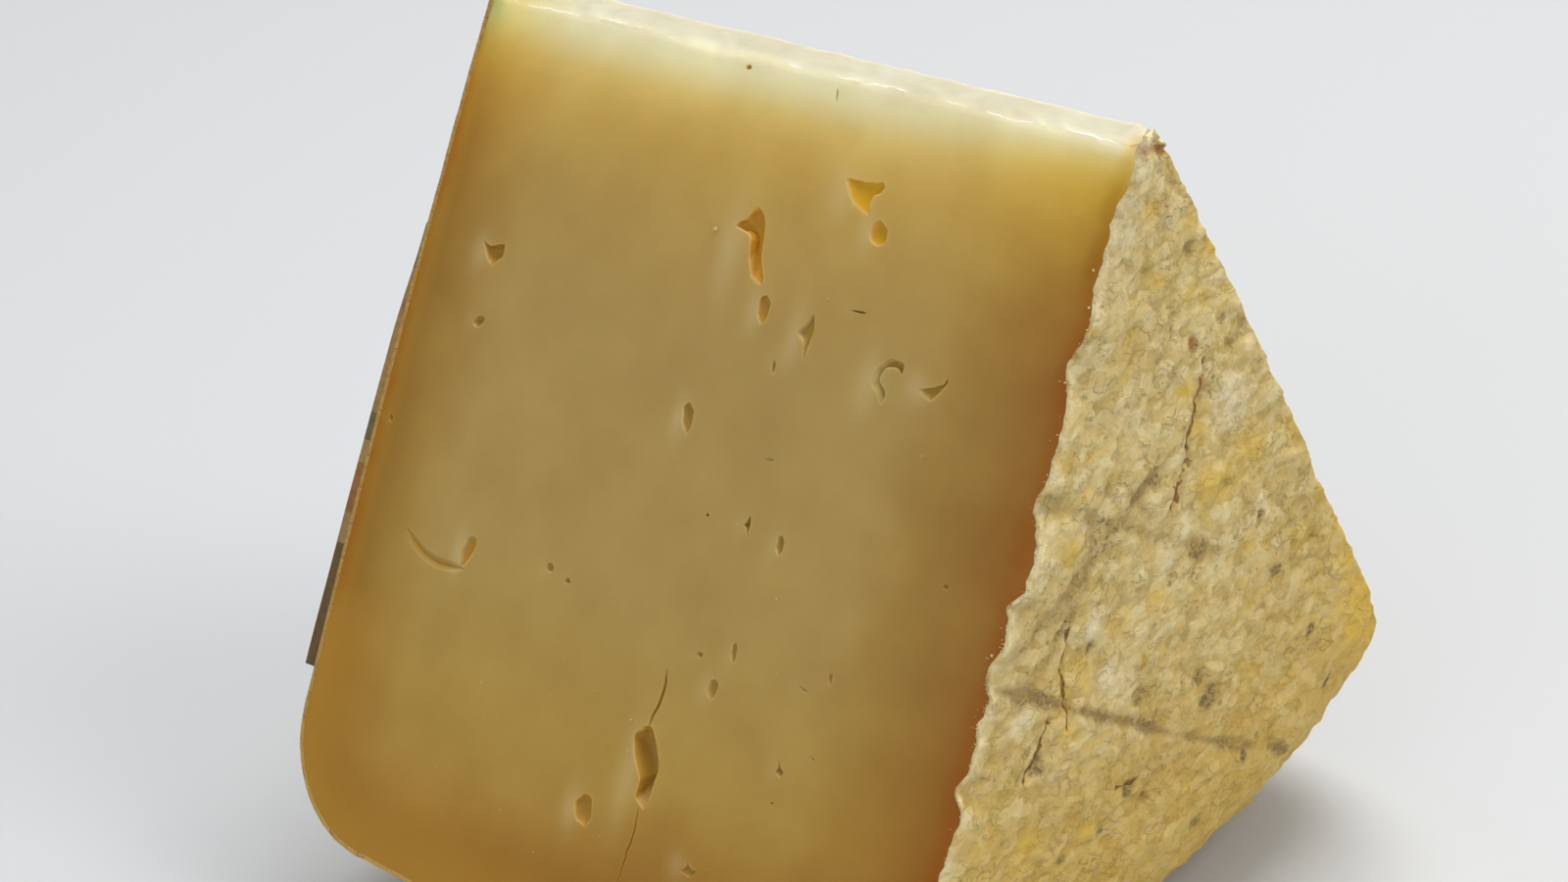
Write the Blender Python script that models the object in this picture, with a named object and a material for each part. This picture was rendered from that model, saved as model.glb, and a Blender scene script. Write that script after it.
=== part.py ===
"""Pecorino wedge: about a sixth of a small wheel, standing on its outer rind with the thin end up.

The wheel's axis runs along X. Places on the wheel are given by
    x      across the thickness of the wheel, from its middle,
    reach  straight out from the wheel's axis,
    drop   straight down from the wheel's axis.
Both pieces hang from one empty on the wheel's axis. Units are metres, with +Z up.
"""
import math
import random

import bmesh
import bpy
from mathutils import Matrix, Vector, noise

MM = 0.001

# The wheel
WHEEL_RADIUS = 100 * MM
WHEEL_THICKNESS = 88 * MM
FACE_CROWN = 0.8 * MM           # how far each flat face swells, between the axis and the rim
SIDE_CROWN = 1.2 * MM           # how far the side swells, between its two rounded edges
LEFT_EDGE_RADIUS = 14 * MM
RIGHT_EDGE_RADIUS = 21 * MM

# The cut
HALF_WEDGE = math.radians(28.25)
TIP_REACH = 4 * MM              # the thin end is sliced off where the cuts are this far out
TIP_DROP = TIP_REACH * math.cos(HALF_WEDGE)
REST_DEPTH = 0.6 * MM           # how much of the side is pressed flat under the wedge
REST_DROP = WHEEL_RADIUS + SIDE_CROWN - REST_DEPTH

# Grid of the wheel's skin: points along each stretch of the outline, and slices across it
LEFT_FACE_POINTS = 15
LEFT_EDGE_POINTS = 8
SIDE_POINTS = 17
RIGHT_EDGE_POINTS = 10
RIGHT_FACE_POINTS = 42
TIP_POINTS = 23
SLICES = 47
SLICE_MARGIN = 3 * MM           # the skin runs this far past the widest place of the cuts

# Relief of the rind: size and height of its lumps and of the crags on them
LUMP_SIZE, LUMP_HEIGHT = 15 * MM, 0.55 * MM
CRAG_SIZE, CRAG_HEIGHT = 4.2 * MM, 0.45 * MM
LEFT_FACE_SHARE = 0.5           # the left face and its edge are smoother than the right face
TIP_SHARE = 0.35                # the sliced tip is only a little rough
REST_CALM = 12 * MM             # the relief fades out over this height above the rest spot
LIP_HEIGHT, LIP_WIDTH = 1.2 * MM, 4.5 * MM      # the right face's rind curls up past the tip

# Folds that the cheese cloth pressed into the right face, and cracks, as (y, drop) in mm
FOLD_WIDTH, FOLD_DEPTH = 1.9 * MM, 0.8 * MM
FOLDS = (
    ((-21, 35), (-9, 43), (8, 53)),
    ((-30, 51), (-13, 62), (3, 73.5), (20, 84)),
    ((-30, 52), (-15, 47), (-1, 39.5)),
)
CRACK_WIDTH, CRACK_DEPTH = 1.0 * MM, 0.7 * MM
CRACKS = (
    ((11.5, 24.5), (6.5, 34), (2, 45)),
    ((-25, 66), (-21, 60), (-17, 56), (-14, 51)),
)

# Eyes in the front cut, in mm: x, reach, width, length, and tilt from straight down in degrees
EYE_DEPTH_SHARE = 0.42          # depth of an eye, as a share of its width plus 1 mm
FRONT_EYES = (
    (13.5, 16.5, 4.4, 3.8, 40),
    (16.6, 19.2, 1.9, 2.4, 30),
    (0.0, 21.6, 3.2, 3.6, 15),
    (2.2, 25.8, 1.6, 5.0, 25),
    (4.8, 30.3, 1.4, 2.4, 25),
    (10.8, 31.0, 1.6, 3.4, 8),
    (-34.1, 32.0, 2.5, 2.8, 40),
    (22.3, 33.8, 1.1, 3.2, 15),
    (28.0, 32.4, 1.3, 3.4, 102),
    (-1.6, 43.2, 1.5, 3.3, 19),
    (14.6, 52.8, 1.1, 2.1, -3),
    (-27.1, 64.5, 1.8, 4.8, 55),
    (10.8, 69.2, 1.4, 2.3, -9),
    (21.9, 74.7, 1.3, 1.8, 27),
    (4.8, 79.4, 3.0, 8.6, 17),
    (-1.7, 86.1, 2.6, 3.1, 50),
    (13.4, 87.7, 1.5, 2.1, 66),
)
BACK_EYE_COUNT = 14
BACK_EYE_SEED = 6
EYE_UNEVENNESS = 0.22           # how far an eye strays from a smooth oval, as a share of its size

# The label: a ring of card on the left face, cut through with the cheese
LABEL_INNER_REACH = 31 * MM
LABEL_OUTER_REACH = 82 * MM
LABEL_THIN, LABEL_THICK = 0.4 * MM, 1.15 * MM   # card at its inner and at its outer edge
LABEL_GAP = 0.3 * MM
LABEL_CALM = 2 * MM             # the rind is smooth under the label and this far round it
LABEL_STEPS = 10                # points along the card
LABEL_SPINS = 26


def clear_scene():
    """Remove every object that the scene starts with."""
    for obj in list(bpy.data.objects):
        bpy.data.objects.remove(obj, do_unlink=True)


def smoothstep(value):
    """Rise from 0 to 1 along an S curve as the value goes from 0 to 1."""
    value = min(max(value, 0.0), 1.0)
    return value * value * (3 - 2 * value)


def spread(start, end, count):
    """Return count evenly spaced numbers from start to end."""
    return [start + (end - start) * i / (count - 1) for i in range(count)]


def face_crown(reach):
    """Swelling of a flat face: a parabola that is nothing at the tip and at the rim."""
    along = (reach - TIP_REACH) / (WHEEL_RADIUS - TIP_REACH)
    return 4 * FACE_CROWN * along * (1 - along)


def rounded_edge(side, radius, count):
    """Quarter circle from a flat face to the wheel's side, as (x, reach); side is -1 or 1."""
    start = WHEEL_RADIUS - radius
    face_x = WHEEL_THICKNESS / 2 + face_crown(start)
    arc = []
    for turn in spread(0, math.pi / 2, count):
        arc.append((side * (face_x - radius * (1 - math.cos(turn))), start + radius * math.sin(turn)))
    return arc


def slice_outline(y):
    """Closed outline of the wheel on the plane at y, as points, from the tip down the left face.

    Along a flat face the points are evenly spaced between the tip's height and the rounded edge.
    """
    def on_face(side, edge_radius, count):
        edge_drop = math.sqrt((WHEEL_RADIUS - edge_radius) ** 2 - y * y)
        points = []
        for drop in spread(TIP_DROP, edge_drop, count):
            reach = max(math.hypot(y, drop), TIP_REACH)
            points.append(Vector((side * (WHEEL_THICKNESS / 2 + face_crown(reach)), y, -drop)))
        return points

    def below(x, reach):
        return Vector((x, y, -math.sqrt(reach * reach - y * y)))

    left_edge = rounded_edge(-1, LEFT_EDGE_RADIUS, LEFT_EDGE_POINTS)
    right_edge = rounded_edge(1, RIGHT_EDGE_RADIUS, RIGHT_EDGE_POINTS)
    left_x, right_x = left_edge[-1][0], right_edge[-1][0]
    outline = on_face(-1, LEFT_EDGE_RADIUS, LEFT_FACE_POINTS)
    outline += [below(x, reach) for x, reach in left_edge[1:]]
    for along in spread(0, 1, SIDE_POINTS)[1:-1]:
        crown = 4 * SIDE_CROWN * along * (1 - along)
        outline.append(below(left_x + (right_x - left_x) * along, WHEEL_RADIUS + crown))
    outline += [below(x, reach) for x, reach in reversed(right_edge)]
    outline += on_face(1, RIGHT_EDGE_RADIUS, RIGHT_FACE_POINTS)[-2::-1]
    half = WHEEL_THICKNESS / 2
    outline += [Vector((x, y, -TIP_DROP)) for x in spread(half, -half, TIP_POINTS)[1:-1]]
    return outline


def distance_to_path(y, drop, path):
    """Shortest distance from a point of the right face to a path given in mm."""
    point = Vector((y, drop))
    nearest = math.inf
    for start, end in zip(path, path[1:]):
        a, b = Vector(start) * MM, Vector(end) * MM
        along = (point - a).dot(b - a) / (b - a).length_squared
        nearest = min(nearest, (a + (b - a) * min(max(along, 0), 1) - point).length)
    return nearest


def furrows(y, drop):
    """Depth of the folds and cracks at a point of the right face: a bell across each path."""
    depth = 0.0
    for paths, width, deepest in ((FOLDS, FOLD_WIDTH, FOLD_DEPTH), (CRACKS, CRACK_WIDTH, CRACK_DEPTH)):
        for path in paths:
            across = distance_to_path(y, drop, path) / width
            depth = max(depth, deepest * math.exp(-across * across))
    return depth


def rind_relief(point, normal):
    """Height of the rind above the smooth wheel at a point of its skin."""
    height = LUMP_HEIGHT * noise.noise(point / LUMP_SIZE)
    height += CRAG_HEIGHT * noise.noise(point / CRAG_SIZE)
    if point.z > -TIP_DROP - 0.1 * MM:
        return height * TIP_SHARE
    right_share = smoothstep(0.5 + normal.x)
    height *= LEFT_FACE_SHARE + (1 - LEFT_FACE_SHARE) * right_share
    if normal.x > 0.5:
        height -= furrows(point.y, -point.z)
    if normal.x < -0.5:
        reach = math.hypot(point.y, point.z)
        outside = max(LABEL_INNER_REACH - reach, reach - LABEL_OUTER_REACH)
        height *= smoothstep(outside / LABEL_CALM - 1)
    return height * smoothstep((point.z + REST_DROP) / REST_CALM)


def lip(point):
    """Rise of the tip's top where the rind of the right face curls up past it."""
    inward = WHEEL_THICKNESS / 2 - point.x
    return LIP_HEIGHT * (1 - smoothstep(inward / LIP_WIDTH)) if point.z > -TIP_DROP - MM else 0.0


def make_wheel_skin(bm):
    """Fill the mesh with the wheel's skin round the wedge, with its relief and its rest spot."""
    widest = WHEEL_RADIUS * math.sin(HALF_WEDGE) + SLICE_MARGIN
    rings = []
    for y in spread(-widest, widest, SLICES):
        rings.append([bm.verts.new(point) for point in slice_outline(y)])
    for near, far in zip(rings, rings[1:]):
        for i in range(len(near)):
            bm.faces.new((near[i - 1], far[i - 1], far[i], near[i]))
    bm.normal_update()
    for vert in bm.verts:
        rise = Vector((0, 0, lip(vert.co)))
        vert.co += vert.normal * rind_relief(vert.co, vert.normal) + rise
        vert.co.z = max(vert.co.z, -REST_DROP)


def cut_frame(side):
    """Axes of a cut as a rotation: across, up the cut and out of it; side is -1 front, 1 back."""
    across = Vector((-side, 0, 0))
    up = Vector((0, -side * math.sin(HALF_WEDGE), math.cos(HALF_WEDGE)))
    return Matrix((across, up, across.cross(up))).transposed().to_4x4()


def slice_wedge(bm):
    """Cut the skin along the two radial planes, and close it with the two flat cut faces."""
    for side in (-1, 1):
        outward = cut_frame(side).to_3x3().col[2]
        geometry = bm.verts[:] + bm.edges[:] + bm.faces[:]
        bmesh.ops.bisect_plane(bm, geom=geometry, plane_co=(0, 0, 0), plane_no=outward, clear_outer=True)
        open_edges = [edge for edge in bm.edges if edge.is_boundary and on_plane(edge, outward)]
        bmesh.ops.edgeloop_fill(bm, edges=open_edges)
    bmesh.ops.recalc_face_normals(bm, faces=bm.faces)


def on_plane(edge, normal):
    """True if both ends of an edge lie on the plane through the wheel's axis."""
    return all(abs(vert.co.dot(normal)) < 0.001 * MM for vert in edge.verts)


def make_eye_cutter(name, side, eye, parent):
    """Make the uneven oval that cuts one eye into a cut face, and return its object."""
    x, reach, width, length, tilt = eye
    depth = EYE_DEPTH_SHARE * (width + 1)
    bm = bmesh.new()
    bmesh.ops.create_icosphere(bm, subdivisions=2, radius=0.5)
    for vert in bm.verts:
        wobble = noise.noise(vert.co * 3 + Vector((x, reach, side)))
        vert.co *= 1 + 2 * EYE_UNEVENNESS * wobble
    stretch = Matrix.Diagonal((width * MM, length * MM, 2 * depth * MM, 1))
    bmesh.ops.transform(bm, matrix=Matrix.Rotation(math.radians(tilt), 4, "Z") @ stretch, verts=bm.verts)
    cutter = make_object(name, bm, parent)
    frame = cut_frame(side)
    cutter.matrix_local = frame @ Matrix.Translation((-side * x * MM, -reach * MM, 0))
    cutter.hide_render = True
    cutter.display_type = "WIRE"
    return cutter


def back_eyes():
    """Draw the back cut's eyes at random, one in each band down the face so that none meet."""
    draw = random.Random(BACK_EYE_SEED)
    eyes = []
    for reach in spread(18, 90, BACK_EYE_COUNT):
        width = draw.uniform(1.2, 2.8)
        eyes.append((draw.uniform(-34, 34), reach, width, width * draw.uniform(1, 2), draw.uniform(-40, 40)))
    return eyes


def make_object(name, bm, parent):
    """Turn a mesh under construction into an object that hangs from its parent."""
    mesh = bpy.data.meshes.new(name)
    bm.to_mesh(mesh)
    bm.free()
    obj = bpy.data.objects.new(name, mesh)
    bpy.context.scene.collection.objects.link(obj)
    obj.parent = parent
    return obj


def add_material(obj, name, color, roughness):
    """Give an object its one Principled material."""
    material = bpy.data.materials.new(name)
    material.use_nodes = True
    shader = material.node_tree.nodes["Principled BSDF"]
    shader.inputs["Base Color"].default_value = (*color, 1)
    shader.inputs["Roughness"].default_value = roughness
    shader.inputs["Metallic"].default_value = 0
    obj.data.materials.append(material)


def make_wedge(parent):
    """Build the wedge of cheese: paste and rind in one solid, with the eyes cut into it."""
    bm = bmesh.new()
    make_wheel_skin(bm)
    slice_wedge(bm)
    wedge = make_object("pecorino_wedge", bm, parent)
    wedge.data.shade_smooth()
    wedge.data.set_sharp_from_angle(angle=math.radians(35))
    add_material(wedge, "pecorino", (0.52, 0.36, 0.15), 0.5)
    cutters = bpy.data.collections.new("eye_cutters")
    bpy.context.scene.collection.children.link(cutters)
    for side, place, eyes in ((-1, "front", FRONT_EYES), (1, "back", back_eyes())):
        for number, eye in enumerate(eyes):
            cutter = make_eye_cutter(f"eye_cutter_{place}_{number}", side, eye, parent)
            bpy.context.scene.collection.objects.unlink(cutter)
            cutters.objects.link(cutter)
    cut = wedge.modifiers.new("eyes", "BOOLEAN")
    cut.operation = "DIFFERENCE"
    cut.operand_type = "COLLECTION"
    cut.collection = cutters
    return wedge


def make_label(parent):
    """Build the ring of card on the left face, from the front cut round to the back cut."""
    inner, outer = [], []
    for reach in spread(LABEL_INNER_REACH, LABEL_OUTER_REACH, LABEL_STEPS):
        along = (reach - LABEL_INNER_REACH) / (LABEL_OUTER_REACH - LABEL_INNER_REACH)
        near = WHEEL_THICKNESS / 2 + face_crown(reach) + LABEL_GAP
        far = near + LABEL_THIN + (LABEL_THICK - LABEL_THIN) * along
        inner.append((-near, reach))
        outer.append((-far, reach))
    bm = bmesh.new()
    start = Matrix.Rotation(-HALF_WEDGE, 4, "X")
    section = [bm.verts.new(start @ Vector((x, 0, -reach))) for x, reach in inner + outer[::-1]]
    face = bm.faces.new(section)
    bmesh.ops.spin(bm, geom=[face], cent=(0, 0, 0), axis=(1, 0, 0), angle=2 * HALF_WEDGE, steps=LABEL_SPINS)
    bmesh.ops.recalc_face_normals(bm, faces=bm.faces)
    label = make_object("label", bm, parent)
    label.data.shade_smooth()
    label.data.set_sharp_from_angle(angle=math.radians(35))
    add_material(label, "printed_card", (0.14, 0.08, 0.04), 0.6)
    return label


def centre_on_base(parent, pieces):
    """Move the wheel's axis so that the pieces' bounding box stands centred on the origin."""
    bpy.context.view_layer.update()
    corners = [piece.matrix_world @ vert.co for piece in pieces for vert in piece.data.vertices]
    lowest = [min(corner[i] for corner in corners) for i in range(3)]
    highest = [max(corner[i] for corner in corners) for i in range(3)]
    parent.location = (-(lowest[0] + highest[0]) / 2, -(lowest[1] + highest[1]) / 2, -lowest[2])


def main():
    """Build the part."""
    clear_scene()
    wheel_axis = bpy.data.objects.new("wheel_axis", None)
    bpy.context.scene.collection.objects.link(wheel_axis)
    pieces = [make_wedge(wheel_axis), make_label(wheel_axis)]
    centre_on_base(wheel_axis, pieces)


main()
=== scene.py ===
"""Looks of a pecorino wedge: waxy cut paste with its eyes, dry natural rind, card label and crumbs.

The wedge stands on its outer rind with the thin end up. The wheel's axis runs along X, above the
wedge, so places are given by x across the wheel, reach out from its axis, and swing, the angle
round the axis, 0 straight down and negative towards the front cut.
"""

import itertools
import logging
import math
from collections.abc import Sequence
from dataclasses import dataclass, field
from enum import Enum

import bmesh
import bpy
import numpy as np
from mathutils import Matrix, Vector

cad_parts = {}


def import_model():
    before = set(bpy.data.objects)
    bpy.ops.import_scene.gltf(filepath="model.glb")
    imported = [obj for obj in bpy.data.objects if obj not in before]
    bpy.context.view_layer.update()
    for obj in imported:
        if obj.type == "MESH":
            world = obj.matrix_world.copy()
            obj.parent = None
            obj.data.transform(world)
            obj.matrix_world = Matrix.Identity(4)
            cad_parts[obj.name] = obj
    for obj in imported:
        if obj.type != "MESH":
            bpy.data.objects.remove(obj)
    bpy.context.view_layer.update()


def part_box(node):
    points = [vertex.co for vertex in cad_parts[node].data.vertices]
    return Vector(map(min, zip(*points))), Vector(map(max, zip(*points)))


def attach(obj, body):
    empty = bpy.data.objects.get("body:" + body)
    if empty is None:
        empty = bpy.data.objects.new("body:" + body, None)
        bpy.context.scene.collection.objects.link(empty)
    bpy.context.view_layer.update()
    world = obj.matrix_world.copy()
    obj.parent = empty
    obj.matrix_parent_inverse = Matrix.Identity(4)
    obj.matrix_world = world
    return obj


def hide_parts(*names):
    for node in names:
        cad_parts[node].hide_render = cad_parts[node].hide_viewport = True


log = logging.getLogger("pecorino")

MM = 0.001
BODY = "root"
CHEESE_SLOT = "cheese"
CARD_SLOT = "label_card"

Array = np.ndarray
Path = tuple[tuple[float, float], ...]
Spots = tuple[tuple[float, float, float], ...]
Stops = tuple[tuple[float, str], ...]


def smoothstep(value: Array) -> Array:
    """S curve v*v*(3 - 2v) of a value held between 0 and 1."""
    value = np.clip(value, 0, 1)
    return value * value * (3 - 2 * value)


def bell(value: Array) -> Array:
    """Bell curve exp(-v*v)."""
    return np.exp(-value * value)


def resample(path: Array, count: int) -> Array:
    """Spread points evenly by length along a path.

    Args:
        path: points of the path, one a row.
        count: how many points to return.

    Returns:
        The new points, from the path's first to its last.
    """
    steps = np.linalg.norm(np.diff(path, axis=0), axis=1)
    length = np.concatenate([[0], np.cumsum(steps)])
    wanted = np.linspace(0, length[-1], count)
    return np.stack([np.interp(wanted, length, column) for column in path.T], axis=1)


def path_distance(y: Array, drop: Array, path: Path) -> Array:
    """Distance from points of a flat face to a path: the least |p - a - t(b - a)|, t from 0 to 1.

    Args:
        y, drop: the points, in metres.
        path: corners of the path as (y, drop) in mm.

    Returns:
        The distances, in metres.
    """
    nearest = np.full(y.shape, np.inf)
    for start, end in zip(path, path[1:]):
        ay, ad = start[0] * MM, start[1] * MM
        by, bd = end[0] * MM - ay, end[1] * MM - ad
        along = np.clip(((y - ay) * by + (drop - ad) * bd) / (by * by + bd * bd), 0, 1)
        nearest = np.minimum(nearest, np.hypot(y - ay - along * by, drop - ad - along * bd))
    return nearest


@dataclass(frozen=True)
class Rough:
    """Unevenness of a surface: the size of its features and how far they rise and fall."""

    size: float
    tall: float


class Lattice:
    """Repeatable random numbers on the corners of a cubic lattice, and noise made from them."""

    SIDE = 32
    GAIN = 1.7

    def __init__(self, seed: int) -> None:
        """Draw a slope, a site and a mark for every corner of the lattice.

        Args:
            seed: start of the random numbers.
        """
        draw = np.random.default_rng(seed)
        shape = (self.SIDE,) * 3
        slopes = draw.normal(size=(*shape, 3))
        self.slopes = slopes / np.linalg.norm(slopes, axis=-1, keepdims=True)
        self.sites = draw.random((*shape, 3))
        self.marks = draw.random(shape)

    def waves(self, points: Array, size: float) -> Array:
        """Gradient noise: the sum over a cube's corners of fade(1 - |offset|) * slope . offset.

        Args:
            points: where to work it out, in metres.
            size: side of the lattice's cubes, in metres.

        Returns:
            Values from about -1 to 1.
        """
        place = points / size
        corner = np.floor(place).astype(int)
        part = place - corner
        total = np.zeros(points.shape[:-1])
        for step in itertools.product((0, 1), repeat=3):
            offset = part - step
            index = tuple(np.moveaxis((corner + step) % self.SIDE, -1, 0))
            weight = np.prod(smoothstep(1 - np.abs(offset)), axis=-1)
            total += weight * np.sum(self.slopes[index] * offset, axis=-1)
        return self.GAIN * total

    def height(self, points: Array, rough: Rough) -> Array:
        """Height of an unevenness at points: tall * waves."""
        return rough.tall * self.waves(points, rough.size)

    def share(self, points: Array, mean: float, swing: float, size: float) -> Array:
        """A share that wavers about its mean: mean + swing * waves."""
        return mean + swing * self.waves(points, size)

    def cells(self, points: Array, size: float) -> tuple[Array, Array]:
        """Cell noise: the least |site - point| over the 27 cubes round each point.

        Args:
            points: where to work it out, in metres.
            size: side of the lattice's cubes, in metres.

        Returns:
            The distance to the nearest site as a share of size, and that site's random mark.
        """
        place = points / size
        corner = np.floor(place).astype(int)
        nearest = np.full(points.shape[:-1], np.inf)
        mark = np.zeros(points.shape[:-1])
        for step in itertools.product((-1, 0, 1), repeat=3):
            cell = corner + step
            index = tuple(np.moveaxis(cell % self.SIDE, -1, 0))
            gap = np.linalg.norm(cell + self.sites[index] - place, axis=-1)
            mark = np.where(gap < nearest, self.marks[index], mark)
            nearest = np.minimum(nearest, gap)
        return nearest, mark


@dataclass(frozen=True)
class Cut:
    """One of the two flat cuts through the wheel's axis."""

    side: int
    half_wedge: float

    @property
    def swing(self) -> float:
        """Angle of the cut round the wheel's axis."""
        return self.side * self.half_wedge

    @property
    def outward(self) -> Array:
        """Unit vector out of the cheese, square to the cut."""
        return np.array([0, self.side * math.cos(self.half_wedge), math.sin(self.half_wedge)])

    @property
    def down(self) -> Array:
        """Unit vector down the cut, away from the wheel's axis."""
        return np.array([0, self.side * math.sin(self.half_wedge), -math.cos(self.half_wedge)])


@dataclass(frozen=True)
class Wheel:
    """The wheel that the wedge was cut from, with the place of its axis in the row frame."""

    axis: Array
    radius: float = 100 * MM
    thickness: float = 88 * MM
    face_crown: float = 0.8 * MM
    side_crown: float = 1.2 * MM
    left_edge: float = 14 * MM
    right_edge: float = 21 * MM
    half_wedge: float = math.radians(28.25)
    tip_reach: float = 4 * MM
    chip_depth: float = 1.9 * MM
    chip_start: float = math.radians(1)
    rest_depth: float = 0.6 * MM

    @property
    def tip_drop(self) -> float:
        """Depth of the sliced tip below the wheel's axis."""
        return self.tip_reach * math.cos(self.half_wedge)

    @property
    def cuts(self) -> tuple[Cut, Cut]:
        """The front and the back cut."""
        return Cut(-1, self.half_wedge), Cut(1, self.half_wedge)

    def crown(self, reach: Array) -> Array:
        """Swelling of a flat face: 4 * crown * w * (1 - w), w from 0 at the tip to 1 at the rim."""
        along = (reach - self.tip_reach) / (self.radius - self.tip_reach)
        return 4 * self.face_crown * along * (1 - along)

    def right_tip(self, swing: Array) -> Array:
        """Reach of the right face's upper edge, which is chipped away towards the back cut."""
        along = (swing - self.chip_start) / (self.half_wedge - self.chip_start)
        return self.tip_drop / np.cos(swing) + self.chip_depth * smoothstep(along)

    def place(self, x: Array, reach: Array, swing: Array) -> Array:
        """Row-frame points: axis + (x, reach * sin(swing), -reach * cos(swing)).

        Args:
            x, reach, swing: the places on the wheel, of shapes that go together.

        Returns:
            The points, with x, y and z in the last dimension.
        """
        x, reach, swing = np.broadcast_arrays(x, reach, swing)
        local = np.stack([x, reach * np.sin(swing), -reach * np.cos(swing)], axis=-1)
        return self.axis + local

    def face_run(self, side: int, edge: float, count: int, swings: Array) -> tuple[Array, Array]:
        """Run down a flat face, in even steps from the tip: x = side * (thickness / 2 + crown(reach)).

        Args:
            side: -1 for the left face, 1 for the right one.
            edge: radius of the rounded edge that the run ends at.
            count: points along the run.
            swings: angles of the slices round the axis.

        Returns:
            x and reach, each of shape (points, swings).
        """
        top = self.right_tip(swings) if side > 0 else self.tip_drop / np.cos(swings)
        reach = top + (self.radius - edge - top) * np.linspace(0, 1, count)[:, None]
        return side * (self.thickness / 2 + self.crown(reach)), reach

    def edge_run(self, side: int, radius: float, count: int, swings: Array) -> tuple[Array, Array]:
        """Run round an edge, a quarter circle that leaves the face and ends square to it.

        Args:
            side: -1 for the left edge, 1 for the right one.
            radius: the edge's radius.
            count: points along the run.
            swings: angles of the slices round the axis.

        Returns:
            x and reach, each of shape (points, swings).
        """
        turn = np.linspace(0, math.pi / 2, count)[:, None] * np.ones(len(swings))
        start = self.radius - radius
        face_x = self.thickness / 2 + self.crown(start)
        return side * (face_x - radius * (1 - np.cos(turn))), start + radius * np.sin(turn)

    def skin(self, counts: dict[str, int], swings: Array) -> tuple[Array, Array, Array, Array]:
        """Smooth skin of the wheel, from the tip down the left face, under, and up the right face.

        The side between the two edges is reach = radius + 4 * side_crown * w * (1 - w), w across it.

        Args:
            counts: points along each stretch: left_face, left_edge, side, right_edge, right_face.
            swings: angles of the slices round the axis.

        Returns:
            x, reach, and the outward normal's x and reach, each of shape (points, swings).
        """
        left = self.face_run(-1, self.left_edge, counts["left_face"], swings)
        left_edge = self.edge_run(-1, self.left_edge, counts["left_edge"], swings)
        right = self.face_run(1, self.right_edge, counts["right_face"], swings)
        right_edge = self.edge_run(1, self.right_edge, counts["right_edge"], swings)
        along = np.linspace(0, 1, counts["side"])[1:-1, None] * np.ones(len(swings))
        side_x = left_edge[0][-1] + (right_edge[0][-1] - left_edge[0][-1]) * along
        side = (side_x, self.radius + 4 * self.side_crown * along * (1 - along))
        x, reach = (
            np.concatenate([left[i], left_edge[i][1:], side[i], right_edge[i][::-1], right[i][-2::-1]])
            for i in (0, 1)
        )
        run_x, run_reach = np.gradient(x, axis=0), np.gradient(reach, axis=0)
        length = np.hypot(run_x, run_reach)
        return x, reach, -run_reach / length, run_x / length


def linear(code: str) -> tuple[float, float, float, float]:
    """Turn an sRGB hex colour into linear light.

    Args:
        code: the colour, such as '#c8a050'.

    Returns:
        Red, green, blue and an alpha of 1.
    """
    parts = [int(code[i:i + 2], 16) / 255 for i in (1, 3, 5)]
    rgb = [p / 12.92 if p <= 0.04045 else ((p + 0.055) / 1.055) ** 2.4 for p in parts]
    return rgb[0], rgb[1], rgb[2], 1.0


class Blend(Enum):
    """How a layer of colour goes on: over what is below it, or as a tint of that."""

    OVER = "MIX"
    TINT = "MULTIPLY"


@dataclass(frozen=True)
class Noise:
    """A cloudy pattern from 0 to 1, by the real size of its largest features."""

    name: str
    size: float
    detail: float
    roughness: float = 0.5
    distortion: float = 0.0


@dataclass(frozen=True)
class Window:
    """How a pattern opens: from bottom at low to top at high, or as it is when only named."""

    pattern: str
    low: float = 0.0
    high: float = 1.0
    top: float = 1.0
    bottom: float = 0.0
    smooth: bool = False

    @property
    def plain(self) -> bool:
        """True when the pattern is taken as it is."""
        return (self.low, self.high, self.bottom, self.top) == (0, 1, 0, 1)


@dataclass(frozen=True)
class Ramp:
    """Colours over a window's pattern, each at a value of that pattern, blended or in steps."""

    over: Window
    stops: Stops
    stepped: bool = False


@dataclass(frozen=True)
class Layer:
    """A tone laid on by a share, or as far as all its windows open.

    The tone is an sRGB hex colour, a ramp, or the name of a pattern that holds a colour.
    """

    tone: str | Ramp
    windows: tuple[Window, ...] = ()
    share: float = 1.0
    blend: Blend = Blend.OVER


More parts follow.
